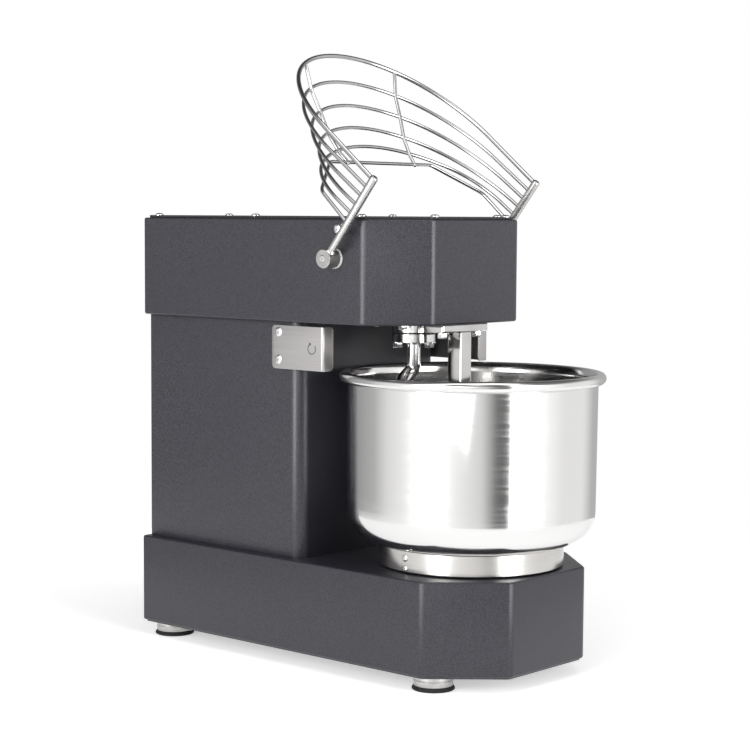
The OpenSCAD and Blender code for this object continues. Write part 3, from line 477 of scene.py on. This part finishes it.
cover = prism(chamfered_outline(head_low, head_high, head_chamfer, 5.5 * MM), cover_low.z, cover_high.z,
              [2 * MM, 2 * MM] + [6 * MM] * 4, 0.7 * MM)
finish_piece("head_cover_plate", cover, cover_coat, "root", ["head_top_cover"])


# ---------------------------------------------------------------- feet

def foot_places():
    low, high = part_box("foot_pads")
    reach = 23.5 * MM
    return [(x, y) for x in (low.x + reach, high.x - reach) for y in (low.y + reach, high.y - reach)]


pad_h = 5 * MM
foot_top = base_low.z - 0.2 * MM
pads = bmesh.new()
sleeves = bmesh.new()
for x, y in foot_places():
    pad_profile = ([(0, 0), (20 * MM, 0)] + unit_arc((21.9 * MM, 1.6 * MM), 1.6 * MM, -90, 20, 5)
                   + [(22.6 * MM, 3.4 * MM), (21.6 * MM, pad_h), (20 * MM, pad_h)])
    merge_into(pads, turned(pad_profile), Matrix.Translation((x, y, 0)))
    top_arc = unit_arc((19.9 * MM, foot_top - 1.6 * MM), 1.6 * MM, 0, 90, 5)
    sleeve_profile = ([(19.6 * MM, pad_h - 0.6 * MM), (21 * MM, pad_h - 0.6 * MM),
                       (21.5 * MM, pad_h + 0.2 * MM),
                       (21.5 * MM, foot_top - 7 * MM), (21.1 * MM, foot_top - 6.6 * MM),
                       (21.1 * MM, foot_top - 6 * MM), (21.5 * MM, foot_top - 5.6 * MM)]
                      + top_arc + [(9 * MM, foot_top), (9 * MM, foot_top - 1 * MM), (0, foot_top - 1 * MM)])
    merge_into(sleeves, turned(sleeve_profile), Matrix.Translation((x, y, 0)))
finish_piece("foot_rubbers", pads, black_rubber, "root", ["foot_pads"])
finish_piece("foot_cups", sleeves, boss_steel, "root", ["foot_sleeves"])


# ---------------------------------------------------------------- bowl and the band under it

def bowl_profile():
    """Outside up to the bead, round the bead, and down the inside."""
    corner = 35 * MM
    low_r = wall_r - 1.5 * MM
    height = rim_z - bowl_z
    outside = unit_arc((low_r - corner, corner), corner, -90, 0, 16)
    bead = unit_arc((rim_r - bead_r, height - bead_r), bead_r, -128, 138, 22)
    inner_r = low_r - wall_t
    inside = unit_arc((low_r - corner, corner), corner - wall_t, 0, -90, 16)
    rise = [(wall_r - 0.2 * MM, height - 14 * MM)]
    fall = [(wall_r - wall_t, height - 12 * MM), (inner_r + 0.8 * MM, height * 0.5)]
    dish = [(ring_r - 12 * MM, wall_t + 0.2 * MM), (ring_r - 16 * MM, wall_t + 1.4 * MM),
            (0, wall_t + 1.4 * MM)]
    return [(0, 0)] + outside + rise + bead + fall + inside + dish


bowl = turned(bowl_profile(), 144)
bmesh.ops.translate(bowl, verts=bowl.verts, vec=(0, bowl_y, bowl_z))
finish_piece("mixing_bowl", bowl, bowl_steel, "turning_bowl", ["bowl"], 50)

band_low, band_high = ring_low.z, ring_high.z
band = turned([(ring_r - 3 * MM, band_low), (ring_r - 1 * MM, band_low), (ring_r, band_low + 1 * MM),
               (ring_r, band_high - 1.6 * MM), (ring_r - 0.6 * MM, band_high - 0.9 * MM),
               (ring_r - 2 * MM, band_high - 0.8 * MM), (ring_r - 3 * MM, band_high - 0.8 * MM),
               (ring_r - 3 * MM, band_low)], 128)
bmesh.ops.translate(band, verts=band.verts, vec=(0, bowl_y, 0))
finish_piece("bowl_band", band, band_steel, "turning_bowl", ["bowl_ring"])

band_screw_turn = math.radians(176)
band_screws = []
for angle in (band_screw_turn, band_screw_turn + math.pi):
    out = Vector((math.cos(angle), math.sin(angle), 0))
    for height in (4 * MM, 15.5 * MM):
        band_screws.append((Vector((0, bowl_y, band_low + height)) + out * ring_r, out))
screws("band_screws", band_screws, 3.8 * MM, 2 * MM, "ring_screws", "turning_bowl")


# ---------------------------------------------------------------- spiral, its shaft and the breaker bar

def ease(t):
    t = min(1, max(0, t))
    return t * t * (3 - 2 * t)


shaft_low, shaft_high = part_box("spiral_shaft")
tool_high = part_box("spiral_tool")[1]
flange_t = 10 * MM
flange_r = 25 * MM
rod_r = 8 * MM
turn_r = 36 * MM
rod_start = math.radians(132)
rod_turns = 1.25
rod_top = tool_high.z - flange_t + 1 * MM
rod_bend = tool_high.z - flange_t - 27 * MM
rod_end = bowl_z + wall_t + 5 * MM + rod_r


def rod_point(s):
    """The rod's middle line, from its flange at s = 0 to its tip at s = 1."""
    turn = max(0, s - 0.1) / 0.9
    angle = rod_start + 2 * math.pi * rod_turns * turn
    r = turn_r * ease(turn / 0.2) - 0.24 * turn_r * ease((turn - 0.65) / 0.35)
    z = rod_top - (rod_top - rod_bend) * s / 0.1 if s < 0.1 else rod_bend - (rod_bend - rod_end) * turn
    return Vector((r * math.cos(angle), spiral_y + r * math.sin(angle), z))


def flange(z_low, edge=0.8 * MM):
    return turned([(0, z_low), (flange_r - edge, z_low), (flange_r, z_low + edge),
                   (flange_r, z_low + flange_t - edge), (flange_r - edge, z_low + flange_t),
                   (0, z_low + flange_t)], 64)


spiral = bmesh.new()
bent_rod(spiral, [rod_point(i / 110) for i in range(111)], rod_r, 24, round_ends=True)
weld = turned([(0, rod_top), (12 * MM, rod_top), (9.5 * MM, rod_top - 1.6 * MM), (rod_r, rod_top - 4 * MM),
               (0, rod_top - 4 * MM)], 40)
merge_into(spiral, weld, Matrix.Translation((0, spiral_y, 0)))
merge_into(spiral, flange(tool_high.z - flange_t), Matrix.Translation((0, spiral_y, 0)))
finish_piece("spiral_hook", spiral, tool_steel, "spiral", ["spiral_tool"], 40)

shaft = flange(shaft_low.z)
spigot = turned([(0, shaft_low.z + flange_t), (15 * MM, shaft_low.z + flange_t), (15 * MM, shaft_high.z),
                 (0, shaft_high.z)], 40)
merge_into(shaft, spigot)
bmesh.ops.translate(shaft, verts=shaft.verts, vec=(0, spiral_y, 0))
finish_piece("spiral_drive_flange", shaft, tool_steel, "spiral", ["spiral_shaft"])

flange_bolt_r = 18 * MM
flange_bolts = bmesh.new()
for side in (0, math.pi):
    angle = rod_start + side
    place = (flange_bolt_r * math.cos(angle), spiral_y + flange_bolt_r * math.sin(angle),
             tool_high.z - flange_t)
    merge_into(flange_bolts, hex_head(6 * MM, 5.6 * MM, 0.9 * MM), Matrix.Translation(place))
finish_piece("spiral_flange_bolts", flange_bolts, screw_steel, "spiral", ["flange_bolts"])

bearing_bolt_r = 46 * MM
bearing_bolt_turn = 25
housing_bolts = bmesh.new()
for quarter in range(4):
    angle = math.radians(bearing_bolt_turn + 90 * quarter)
    place = (bearing_bolt_r * math.cos(angle), spiral_y + bearing_bolt_r * math.sin(angle), head_low.z)
    merge_into(housing_bolts, hex_head(5.6 * MM, 7 * MM, 1 * MM), Matrix.Translation(place))
finish_piece("spiral_bearing_bolts", housing_bolts, screw_steel, "root", ["spiral_housing_bolts"])

bracket_low, bracket_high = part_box("breaker_bar_bracket")
bar_low, bar_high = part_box("breaker_bar")
bracket = block(bracket_low, bracket_high, 0.8 * MM, 3 * MM)
finish_piece("bar_bracket", bracket, bar_steel, "root", ["breaker_bar_bracket"])
bar = block(bar_low, bar_high, 0.7 * MM, 1.2 * MM)
finish_piece("square_breaker_bar", bar, bar_steel, "root", ["breaker_bar"])
bracket_bolt_x = 30 * MM
bracket_bolts = bmesh.new()
for x in (-bracket_bolt_x, bracket_bolt_x):
    place = (x, (bar_low.y + bar_high.y) / 2, bracket_low.z)
    merge_into(bracket_bolts, hex_head(5.6 * MM, 6 * MM, 1 * MM), Matrix.Translation(place))
finish_piece("bar_bracket_bolts", bracket_bolts, screw_steel, "root", ["bracket_bolts"])


# ---------------------------------------------------------------- side guard plates

plate_t = 2.5 * MM
plate_screw_back = 11 * MM


def bent_plate(name, node, side):
    """A flat plate beside the column, its front end bent inwards. side is -1 on the left, 1 on the right."""
    low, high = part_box(node)
    outer = side * max(abs(low.x), abs(high.x))
    lip = side * min(abs(low.x), abs(high.x))
    bend = 3 * MM
    middle = outer - side * bend
    start = 0 if side > 0 else 180
    arc = unit_arc((middle, low.y + bend), bend, start, start - side * 90, 8)
    path = [(outer, high.y)] + [(x, y) for x, y in arc] + [(lip, low.y)]
    bm = bmesh.new()
    verts = [bm.verts.new((x, y, low.z)) for x, y in path]
    edges = [bm.edges.new(pair) for pair in zip(verts, verts[1:])]
    grown = bmesh.ops.extrude_edge_only(bm, edges=edges)["geom"]
    moved = [v for v in grown if isinstance(v, bmesh.types.BMVert)]
    bmesh.ops.translate(bm, verts=moved, vec=(0, 0, high.z - low.z))
    bm.verts.ensure_lookup_table()
    corners = [v for v in bm.verts if len(v.link_edges) == 2]
    bmesh.ops.bevel(bm, geom=corners, offset=5 * MM, offset_type="OFFSET", segments=6, profile=0.5,
                    affect="VERTICES", material=-1)
    bmesh.ops.recalc_face_normals(bm, faces=bm.faces)
    outward = sum((f.normal.x * side + -f.normal.y) * f.calc_area() for f in bm.faces)
    if outward < 0:
        bmesh.ops.reverse_faces(bm, faces=bm.faces)
    bmesh.ops.solidify(bm, geom=bm.faces[:], thickness=plate_t)
    rims = [e for e in bm.edges if len(e.link_faces) == 2 and e.calc_face_angle(0) > math.radians(60)]
    bevel_edges(bm, rims, 0.35 * MM, 2)
    return finish_piece(name, bm, plate_steel, "root", [node], 40)


bent_plate("left_guard_plate", "side_guard_left", -1)
bent_plate("right_guard_plate", "side_guard_right", 1)
left_low, left_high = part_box("side_guard_left")
plate_places = []
for side in (-1, 1):
    for z in (rim_z + 10 * MM, left_high.z - 7.5 * MM):
        plate_places.append((Vector((side * -left_low.x, left_high.y - plate_screw_back, z)),
                             Vector((side, 0, 0))))
screws("guard_plate_screws", plate_places, 5.2 * MM, 2.6 * MM, "side_guard_screws", shank=5.5 * MM)

# A round arrow for the bowl's turning direction, cut into the left plate
mark_centre = Vector((left_low.x - 0.06 * MM, left_low.y + 17 * MM, (left_low.z + left_high.z) / 2))
mark_r = 5.2 * MM
mark_w = 1.1 * MM
mark = bmesh.new()
arc_section = [mark.verts.new((r, 0, z)) for r, z in
               ((mark_r, 0), (mark_r + mark_w, 0), (mark_r + mark_w, 0.12 * MM), (mark_r, 0.12 * MM))]
section = mark.faces.new(arc_section)
bmesh.ops.spin(mark, geom=[section], cent=(0, 0, 0), axis=(0, 0, 1), dvec=(0, 0, 0),
               angle=math.radians(265), steps=36, use_merge=False, use_duplicate=False)
bmesh.ops.create_cone(mark, cap_ends=True, segments=3, radius1=2.4 * MM, radius2=2.4 * MM, depth=0.12 * MM,
                      matrix=Matrix.Translation((mark_r + mark_w / 2, -1.4 * MM, 0.06 * MM))
                      @ Matrix.Rotation(math.radians(-90), 4, "Z"))
bmesh.ops.transform(mark, matrix=facing(mark_centre, (-1, 0, 0)) @ Matrix.Rotation(math.radians(40), 4, "Z"),
                    verts=mark.verts)
finish_piece("turning_arrow", mark, engraving, "root")


# ---------------------------------------------------------------- wire guard

def guard_point(x, t, s):
    """A point of the raised guard: s along the arms from the pivot, t square to them towards the back."""
    return pivot + Vector((x, 0, 0)) + arm_dir * s + back_dir * t


def leaning(i, x, t):
    """A point of wire i's own plane, which leans a little from square to the arms."""
    lean = math.radians(WIRES[i][1])
    return guard_point(x, t * math.cos(lean), arm_len - i * wire_pitch + t * math.sin(lean))


def front_arc(i):
    """Radius and middle of a wire's front arc, and the angle at which its corners take over."""
    depth, lean, corner = WIRES[i]
    out = arm_x - corner
    lead = depth - corner - 0.34 * out
    radius = (out ** 2 + (depth - lead) ** 2 - corner ** 2) / (2 * (depth - lead - corner)) if out else corner
    middle = depth - radius
    return radius, middle, lead, math.atan2(lead - middle, out) if out else 0


def wire_outline(i):
    """(x, t) points of a wire, from one arm round to the other."""
    depth, lean, corner = WIRES[i]
    if not corner:
        front_x = head_high.x - head_chamfer[0] + 14 * MM
        half = [(arm_x, 0), (arm_x - 1.3 * MM, 47 * MM), (arm_x - 2 * MM, 52 * MM),
                (arm_x - 5.5 * MM, 57 * MM), (front_x + 4 * MM, depth - 4 * MM),
                (front_x + 0.6 * MM, depth - 1 * MM), (front_x - 5 * MM, depth)]
        return half + [(-x, t) for x, t in reversed(half)]
    radius, middle, lead, start = front_arc(i)
    half = [(arm_x, 0), (arm_x, lead * 0.5)]
    if start:
        half += unit_arc((arm_x - corner, lead), corner, 0, math.degrees(start), 16)
    else:
        half.append((arm_x, lead))
    front = unit_arc((0, middle), radius, math.degrees(start), 180 - math.degrees(start), 48)
    return half + front[1:-1] + [(-x, t) for x, t in reversed(half)]


def rib_point(i, side):
    x = (76 - (76 - 57) * i / 5) * MM
    depth = WIRES[i][0]
    inside = 1.6 * wire_r
    if i == 5:
        return leaning(i, side * x, depth - inside)
    radius, middle = front_arc(i)[:2]
    return leaning(i, side * x, middle + math.sqrt(radius ** 2 - x ** 2) - inside)


wires = bmesh.new()
for i in range(6):
    path = [leaning(i, x, t) for x, t in wire_outline(i)]
    bent_rod(wires, path, rim_wire_r if i == 0 else wire_r, 14)
finish_piece("guard_cage_wires", wires, wire_steel, "wire_guard", ["guard_wires"], 50)

ribs = bmesh.new()
for side in (-1, 1):
    bent_rod(ribs, [rib_point(i, side) for i in range(6)], wire_r, 12, round_ends=True)
finish_piece("guard_cage_ribs", ribs, wire_steel, "wire_guard", ["guard_ribs"], 50)

arms = bmesh.new()
for side in (-1, 1):
    x = side * arm_x
    bent_rod(arms, [guard_point(x, 0, 5 * MM), guard_point(x, 0, arm_len * 0.5),
                    guard_point(x, 0, arm_len + 4 * MM)],
             arm_r, 24, round_ends=True)
    length = boss_out - boss_in
    boss = turned([(6.2 * MM, 0), (boss_r - 0.8 * MM, 0), (boss_r, 0.8 * MM), (boss_r, length - 0.9 * MM),
                   (boss_r - 0.9 * MM, length), (4 * MM, length), (3.6 * MM, length - 0.6 * MM),
                   (0, length - 0.6 * MM)], 48)
    merge_into(arms, boss, facing(Vector((side * boss_in, pivot.y, pivot.z)), (side, 0, 0)))
    collar = turned([(0, 9.6 * MM), (6 * MM, 9.6 * MM), (5.6 * MM, 11 * MM), (arm_r, 12.4 * MM),
                     (0, 12.4 * MM)], 32)
    merge_into(arms, collar, facing(pivot + Vector((x, 0, 0)), arm_dir))
finish_piece("guard_side_arms", arms, boss_steel, "wire_guard", ["guard_arms"])

set_screws = bmesh.new()
for side in (-1, 1):
    plug = turned([(3.3 * MM, -1 * MM), (3.3 * MM, 0.7 * MM), (2.9 * MM, 1.1 * MM), (1.7 * MM, 1.1 * MM),
                   (1.6 * MM, -0.8 * MM), (0, -0.8 * MM)], 24)
    merge_into(set_screws, plug, facing(Vector((side * boss_out, pivot.y, pivot.z)), (side, 0, 0)))
finish_piece("arm_set_screws", set_screws, screw_steel, "wire_guard", ["guard_set_screws"])

stop_low, stop_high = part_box("guard_stop_screws")
stop_y, stop_z = (stop_low.y + stop_high.y) / 2, (stop_low.z + stop_high.z) / 2
stops = bmesh.new()
stop_len = stop_high.x - head_high.x - 2.2 * MM
for side in (-1, 1):
    post = turned([(0, 0), (6.2 * MM, 0), (6.2 * MM, 1.2 * MM), (3.6 * MM, 1.3 * MM),
                   (3.6 * MM, stop_len - 3.4 * MM), (4.6 * MM, stop_len - 3.3 * MM), (4.6 * MM, stop_len),
                   (0, stop_len)], 32)
    merge_into(stops, post, facing(Vector((side * head_high.x, stop_y, stop_z)), (side, 0, 0)))
    cap = dome_screw(4.7 * MM, 2.2 * MM, 0.6 * MM)
    merge_into(stops, cap, facing(Vector((side * (head_high.x + stop_len), stop_y, stop_z)), (side, 0, 0)))
finish_piece("guard_rest_stops", stops, screw_steel, "root", ["guard_stop_screws"])


# ---------------------------------------------------------------- screws of the covers

def cover_screw_places():
    side, front = head_high.x - 10 * MM, bowl_y + 60 * MM
    mid = front + (head_high.y - bowl_y - 79 * MM) / 2
    sides = [(s * side, y) for s in (-1, 1) for y in (front, mid)]
    back = [(-side, head_high.y - 19 * MM), (0, head_high.y - 16 * MM)]
    return sides + back + [(-62 * MM, bowl_y + 4 * MM), (62 * MM, bowl_y + 4 * MM)]


screws("cover_screws", [(Vector((x, y, cover_high.z)), Vector((0, 0, 1))) for x, y in cover_screw_places()],
       5 * MM, 2.8 * MM, "top_cover_screws")

panel_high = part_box("back_panel")[1]
back_places = []
for side in (-1, 1):
    for share in (0, 0.5, 1):
        z = column_low.z + 19 * MM + share * (column_high.z - column_low.z - 38 * MM)
        back_places.append((Vector((side * (column_high.x - 19 * MM), panel_high.y, z)), Vector((0, 1, 0))))
screws("back_cover_screws", back_places, 4.5 * MM, 2.4 * MM, "back_panel_screws")


# ---------------------------------------------------------------- controls and cable gland

control_low, control_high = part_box("control_panel")
face_x = column_high.x + 2 * MM
start_low, start_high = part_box("start_button")
stop_low_b, stop_high_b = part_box("stop_button")
knob_low, knob_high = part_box("timer_knob")


def middle_of(low, high):
    return (low.y + high.y) / 2, (low.z + high.z) / 2


start_y, start_z = middle_of(start_low, start_high)
halt_y, halt_z = middle_of(stop_low_b, stop_high_b)
knob_y, knob_z = middle_of(knob_low, knob_high)

panel = block((column_high.x, control_low.y, control_low.z), (face_x, control_high.y, control_high.z),
              0.5 * MM)
for y, z in ((start_y, start_z), (halt_y, halt_z)):
    bezel = turned([(11.5 * MM, 0), (15 * MM, 0), (15 * MM, 2.6 * MM), (14 * MM, 3.8 * MM),
                    (12.2 * MM, 4 * MM),
                    (11.5 * MM, 3.2 * MM), (11.5 * MM, 0)], 48)
    merge_into(panel, bezel, facing((face_x, y, z), (1, 0, 0)))
finish_piece("control_plate", panel, panel_steel, "root", ["control_panel"])

start = turned([(0, -14 * MM), (8 * MM, -14 * MM), (8 * MM, 3 * MM), (10.4 * MM, 3 * MM),
                (11 * MM, 3.6 * MM),
                (11 * MM, 7 * MM), (10 * MM, 7.9 * MM), (7 * MM, 7.5 * MM), (0, 7.3 * MM)], 48)
bmesh.ops.transform(start, matrix=facing((face_x, start_y, start_z), (1, 0, 0)), verts=start.verts)
finish_piece("green_start_cap", start, green_cap, "start_push", ["start_button"])

mushroom = ([(0, -14 * MM), (8 * MM, -14 * MM), (8 * MM, 9 * MM), (16.4 * MM, 9 * MM),
             (17.9 * MM, 10.4 * MM)]
            + unit_arc((0, -3.2 * MM), 22.6 * MM, 37, 90, 9)[:-1] + [(0, 17 * MM)])
mushroom = [(r, min(z, 17 * MM)) for r, z in mushroom]
halt = turned(mushroom, 48)
bmesh.ops.transform(halt, matrix=facing((face_x, halt_y, halt_z), (1, 0, 0)), verts=halt.verts)
finish_piece("red_stop_cap", halt, red_cap, "stop_push", ["stop_button"])

knob = turned([(0, -16 * MM), (8 * MM, -16 * MM), (8 * MM, 0.5 * MM), (18.4 * MM, 0.5 * MM),
               (19 * MM, 1.1 * MM),
               (19 * MM, 3.6 * MM), (18 * MM, 4.6 * MM), (14 * MM, 5.4 * MM), (13.4 * MM, 17.4 * MM),
               (12.2 * MM, 18.5 * MM), (0, 18.5 * MM)], 72)
flutes = [v for v in knob.verts if 5.2 * MM < v.co.z < 18 * MM and math.hypot(v.co.x, v.co.y) > 12.5 * MM]
for v in flutes:
    wave = math.cos(18 * math.atan2(v.co.y, v.co.x))
    v.co.xy *= 1 + 0.035 * wave
bmesh.ops.transform(knob, matrix=facing((face_x, knob_y, knob_z), (1, 0, 0)), verts=knob.verts)
finish_piece("timer_dial_knob", knob, black_nylon, "timer_dial", ["timer_knob"])
pointer = block((face_x + 18.4 * MM, knob_y - 1.2 * MM, knob_z + 1 * MM),
                (face_x + 19.4 * MM, knob_y + 1.2 * MM, knob_z + 12 * MM), 0.3 * MM)
finish_piece("timer_pointer", pointer, tick_paint, "timer_dial")

ticks = bmesh.new()
for i in range(11):
    angle = math.radians(-150 + 30 * i)
    out = Vector((0, math.sin(angle), math.cos(angle)))
    tick = block((0, -0.5 * MM, -2.2 * MM), (0.25 * MM, 0.5 * MM, 2.2 * MM), 0.08 * MM)
    turn = Matrix.Rotation(-angle, 4, "X")
    merge_into(ticks, tick, Matrix.Translation(Vector((face_x, knob_y, knob_z)) + out * 24 * MM) @ turn)
finish_piece("timer_scale", ticks, engraving, "root")

gland_low, gland_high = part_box("cable_gland")
gland_x = (gland_low.x + gland_high.x) / 2
gland_z = (gland_low.z + gland_high.z) / 2
back_y = base_high.y
gland = bmesh.new()
bmesh.ops.create_cone(gland, cap_ends=True, segments=6, radius1=14 * MM, radius2=14 * MM, depth=6 * MM,
                      matrix=Matrix.Translation((0, 0, 3 * MM)))
bevel_edges(gland, gland.edges, 0.7 * MM, 2)
cone = [(12 * MM, 6 * MM), (12.2 * MM, 8 * MM), (11.6 * MM, 8.6 * MM), (11.6 * MM, 9.4 * MM),
        (11.4 * MM, 10 * MM)]
cap_top = gland_high.y - back_y
merge_into(gland, turned(cone + [(9.4 * MM, cap_top - 0.8 * MM), (8.6 * MM, cap_top), (5 * MM, cap_top),
                                 (4.5 * MM, cap_top - 0.5 * MM), (4.5 * MM, -4 * MM)], 48))
bmesh.ops.transform(gland, matrix=facing((gland_x, back_y, gland_z), (0, 1, 0)), verts=gland.verts)
finish_piece("mains_cable_gland", gland, black_nylon, "root", ["cable_gland"])


# ---------------------------------------------------------------- finishes of the CAD pieces that stay

CAD_FINISH = {
    inner_coat: ["base_bottom_plate", "head_bottom_plate", "motor_mount"],
    dark_coat: ["back_panel"],
    white_nylon: ["guard_bushes"],
    screw_steel: ["bottom_plate_screws", "motor_bolts"],
    machined: ["spiral_bearings", "bowl_bearings", "bowl_hub", "lay_shaft", "motor_shaft",
               "guard_pivot_pins"],
    housing_iron: ["motor_housing", "spiral_bearing_housing", "bowl_bearing_housing", "lay_bearing_blocks",
                   "motor_pulley", "lay_pulley"],
    chain_steel: ["spiral_chain", "bowl_chain", "bowl_sprocket", "spiral_sprocket", "lay_spiral_sprocket",
                  "lay_bowl_sprocket"],
    black_rubber: ["drive_belt", "flange_gasket"],
    red_cap: ["guard_switch"],
}
for material, names in CAD_FINISH.items():
    for node in names:
        NODES[node].data.materials.clear()
        NODES[node].data.materials.append(material)


# ---------------------------------------------------------------- camera, floor and light

scene = bpy.context.scene
scene.view_settings.view_transform = "Standard"
scene.view_settings.look = "None"

camera_place = Vector((-1.675, bowl_y - 1.349, 0.5076))
heading, tilt, roll = (math.radians(a) for a in (-48.27, -4.70, 0.32))
camera = bpy.data.objects.new("camera", bpy.data.cameras.new("camera"))
camera.data.sensor_width = 36
camera.data.lens = 93
camera.matrix_world = (Matrix.Translation(camera_place) @ Matrix.Rotation(heading, 4, "Z")
                       @ Matrix.Rotation(math.radians(90) + tilt, 4, "X") @ Matrix.Rotation(roll, 4, "Z"))
scene.collection.objects.link(camera)
scene.camera = camera


def studio_floor():
    bm = bmesh.new()
    bmesh.ops.create_circle(bm, cap_ends=True, segments=96, radius=0.95)
    mesh = bpy.data.meshes.new("studio_floor")
    bm.to_mesh(mesh)
    bm.free()
    floor = bpy.data.objects.new("studio_floor", mesh)
    mesh.materials.append(floor_paint())
    scene.collection.objects.link(floor)


def floor_paint():
    """White paper that is lit a little from itself, so that it stays pale all over."""
    f = Finish("white_paper", (0.9, 0.9, 0.9), 0.9, spec=0.1)
    f.shader.inputs["Emission Color"].default_value = (1, 1, 1, 1)
    f.shader.inputs["Emission Strength"].default_value = 0.46
    return f.mat


studio_floor()


def studio_world():
    """A white room with two brighter windows and one dark gap, told apart by compass direction only."""
    world = bpy.data.worlds.new("studio")
    scene.world = world
    world.use_nodes = True
    tree = world.node_tree
    tree.nodes.clear()
    coords = tree.nodes.new("ShaderNodeTexCoord")
    split = tree.nodes.new("ShaderNodeSeparateXYZ")
    compass = tree.nodes.new("ShaderNodeMath")
    compass.operation = "ARCTAN2"
    turn = tree.nodes.new("ShaderNodeMapRange")
    turn.inputs["From Min"].default_value = -math.pi
    turn.inputs["From Max"].default_value = math.pi
    ramp = tree.nodes.new("ShaderNodeValToRGB")
    ramp.color_ramp.interpolation = "LINEAR"
    # Compass directions in degrees from +X towards +Y, each with its brightness
    bands = [(-180, 9), (-173, 8), (-166, 1.3), (-150, 1.05), (-132, 0.85), (-123, 0.4), (-119, 0.2),
             (-111, 0.12), (-106, 0.2), (-103, 7), (-84, 8), (-76, 1.3), (-50, 1.0), (-20, 1.0),
             (2, 0.55), (60, 0.35), (85, 0.35), (120, 0.55), (136, 0.9), (152, 1.05), (166, 1.3), (171, 8),
             (180, 9)]
    brightest = 9
    stops = ramp.color_ramp.elements
    while len(stops) > 1:
        stops.remove(stops[-1])
    for i, (angle, level) in enumerate(bands):
        stop = stops[0] if i == 0 else stops.new((angle + 180) / 360)
        stop.position = (angle + 180) / 360
        stop.color = (level / brightest, level / brightest, level / brightest, 1)
    light = tree.nodes.new("ShaderNodeBackground")
    light.inputs["Strength"].default_value = brightest
    white = tree.nodes.new("ShaderNodeBackground")
    white.inputs["Strength"].default_value = 1.0
    white.inputs["Color"].default_value = (1, 1, 1, 1)
    path = tree.nodes.new("ShaderNodeLightPath")
    mix = tree.nodes.new("ShaderNodeMixShader")
    out = tree.nodes.new("ShaderNodeOutputWorld")
    links = tree.links
    links.new(coords.outputs["Generated"], split.inputs["Vector"])
    links.new(split.outputs["Y"], compass.inputs[0])
    links.new(split.outputs["X"], compass.inputs[1])
    links.new(compass.outputs["Value"], turn.inputs["Value"])
    links.new(turn.outputs["Result"], ramp.inputs["Fac"])
    # The room grows darker towards its ceiling
    height = tree.nodes.new("ShaderNodeMapRange")
    height.interpolation_type = "SMOOTHSTEP"
    height.inputs["From Min"].default_value = 0.3
    height.inputs["From Max"].default_value = 0.7
    height.inputs["To Min"].default_value = 1.0
    height.inputs["To Max"].default_value = 0.2
    dim = tree.nodes.new("ShaderNodeVectorMath")
    dim.operation = "SCALE"
    links.new(split.outputs["Z"], height.inputs["Value"])
    links.new(ramp.outputs["Color"], dim.inputs[0])
    links.new(height.outputs["Result"], dim.inputs["Scale"])
    links.new(dim.outputs["Vector"], light.inputs["Color"])
    links.new(path.outputs["Is Camera Ray"], mix.inputs["Fac"])
    links.new(light.outputs["Background"], mix.inputs[1])
    links.new(white.outputs["Background"], mix.inputs[2])
    links.new(mix.outputs["Shader"], out.inputs["Surface"])


studio_world()


def soft_light(name, place, aim, size, power):
    lamp = bpy.data.lights.new(name, "AREA")
    lamp.shape = "RECTANGLE"
    lamp.size, lamp.size_y = size
    lamp.energy = power
    obj = bpy.data.objects.new(name, lamp)
    obj.matrix_world = Matrix.Translation(place) @ Vector((0, 0, -1)).rotation_difference(
        Vector(aim) - Vector(place)).to_matrix().to_4x4()
    scene.collection.objects.link(obj)


soft_light("left_window", (-1.6, -0.75, 0.75), (0, -0.1, 0.35), (0.5, 1.2), 4)
soft_light("overhead_window", (-0.3, -0.6, 2.2), (0, 0, 0.3), (1.4, 1.0), 9)
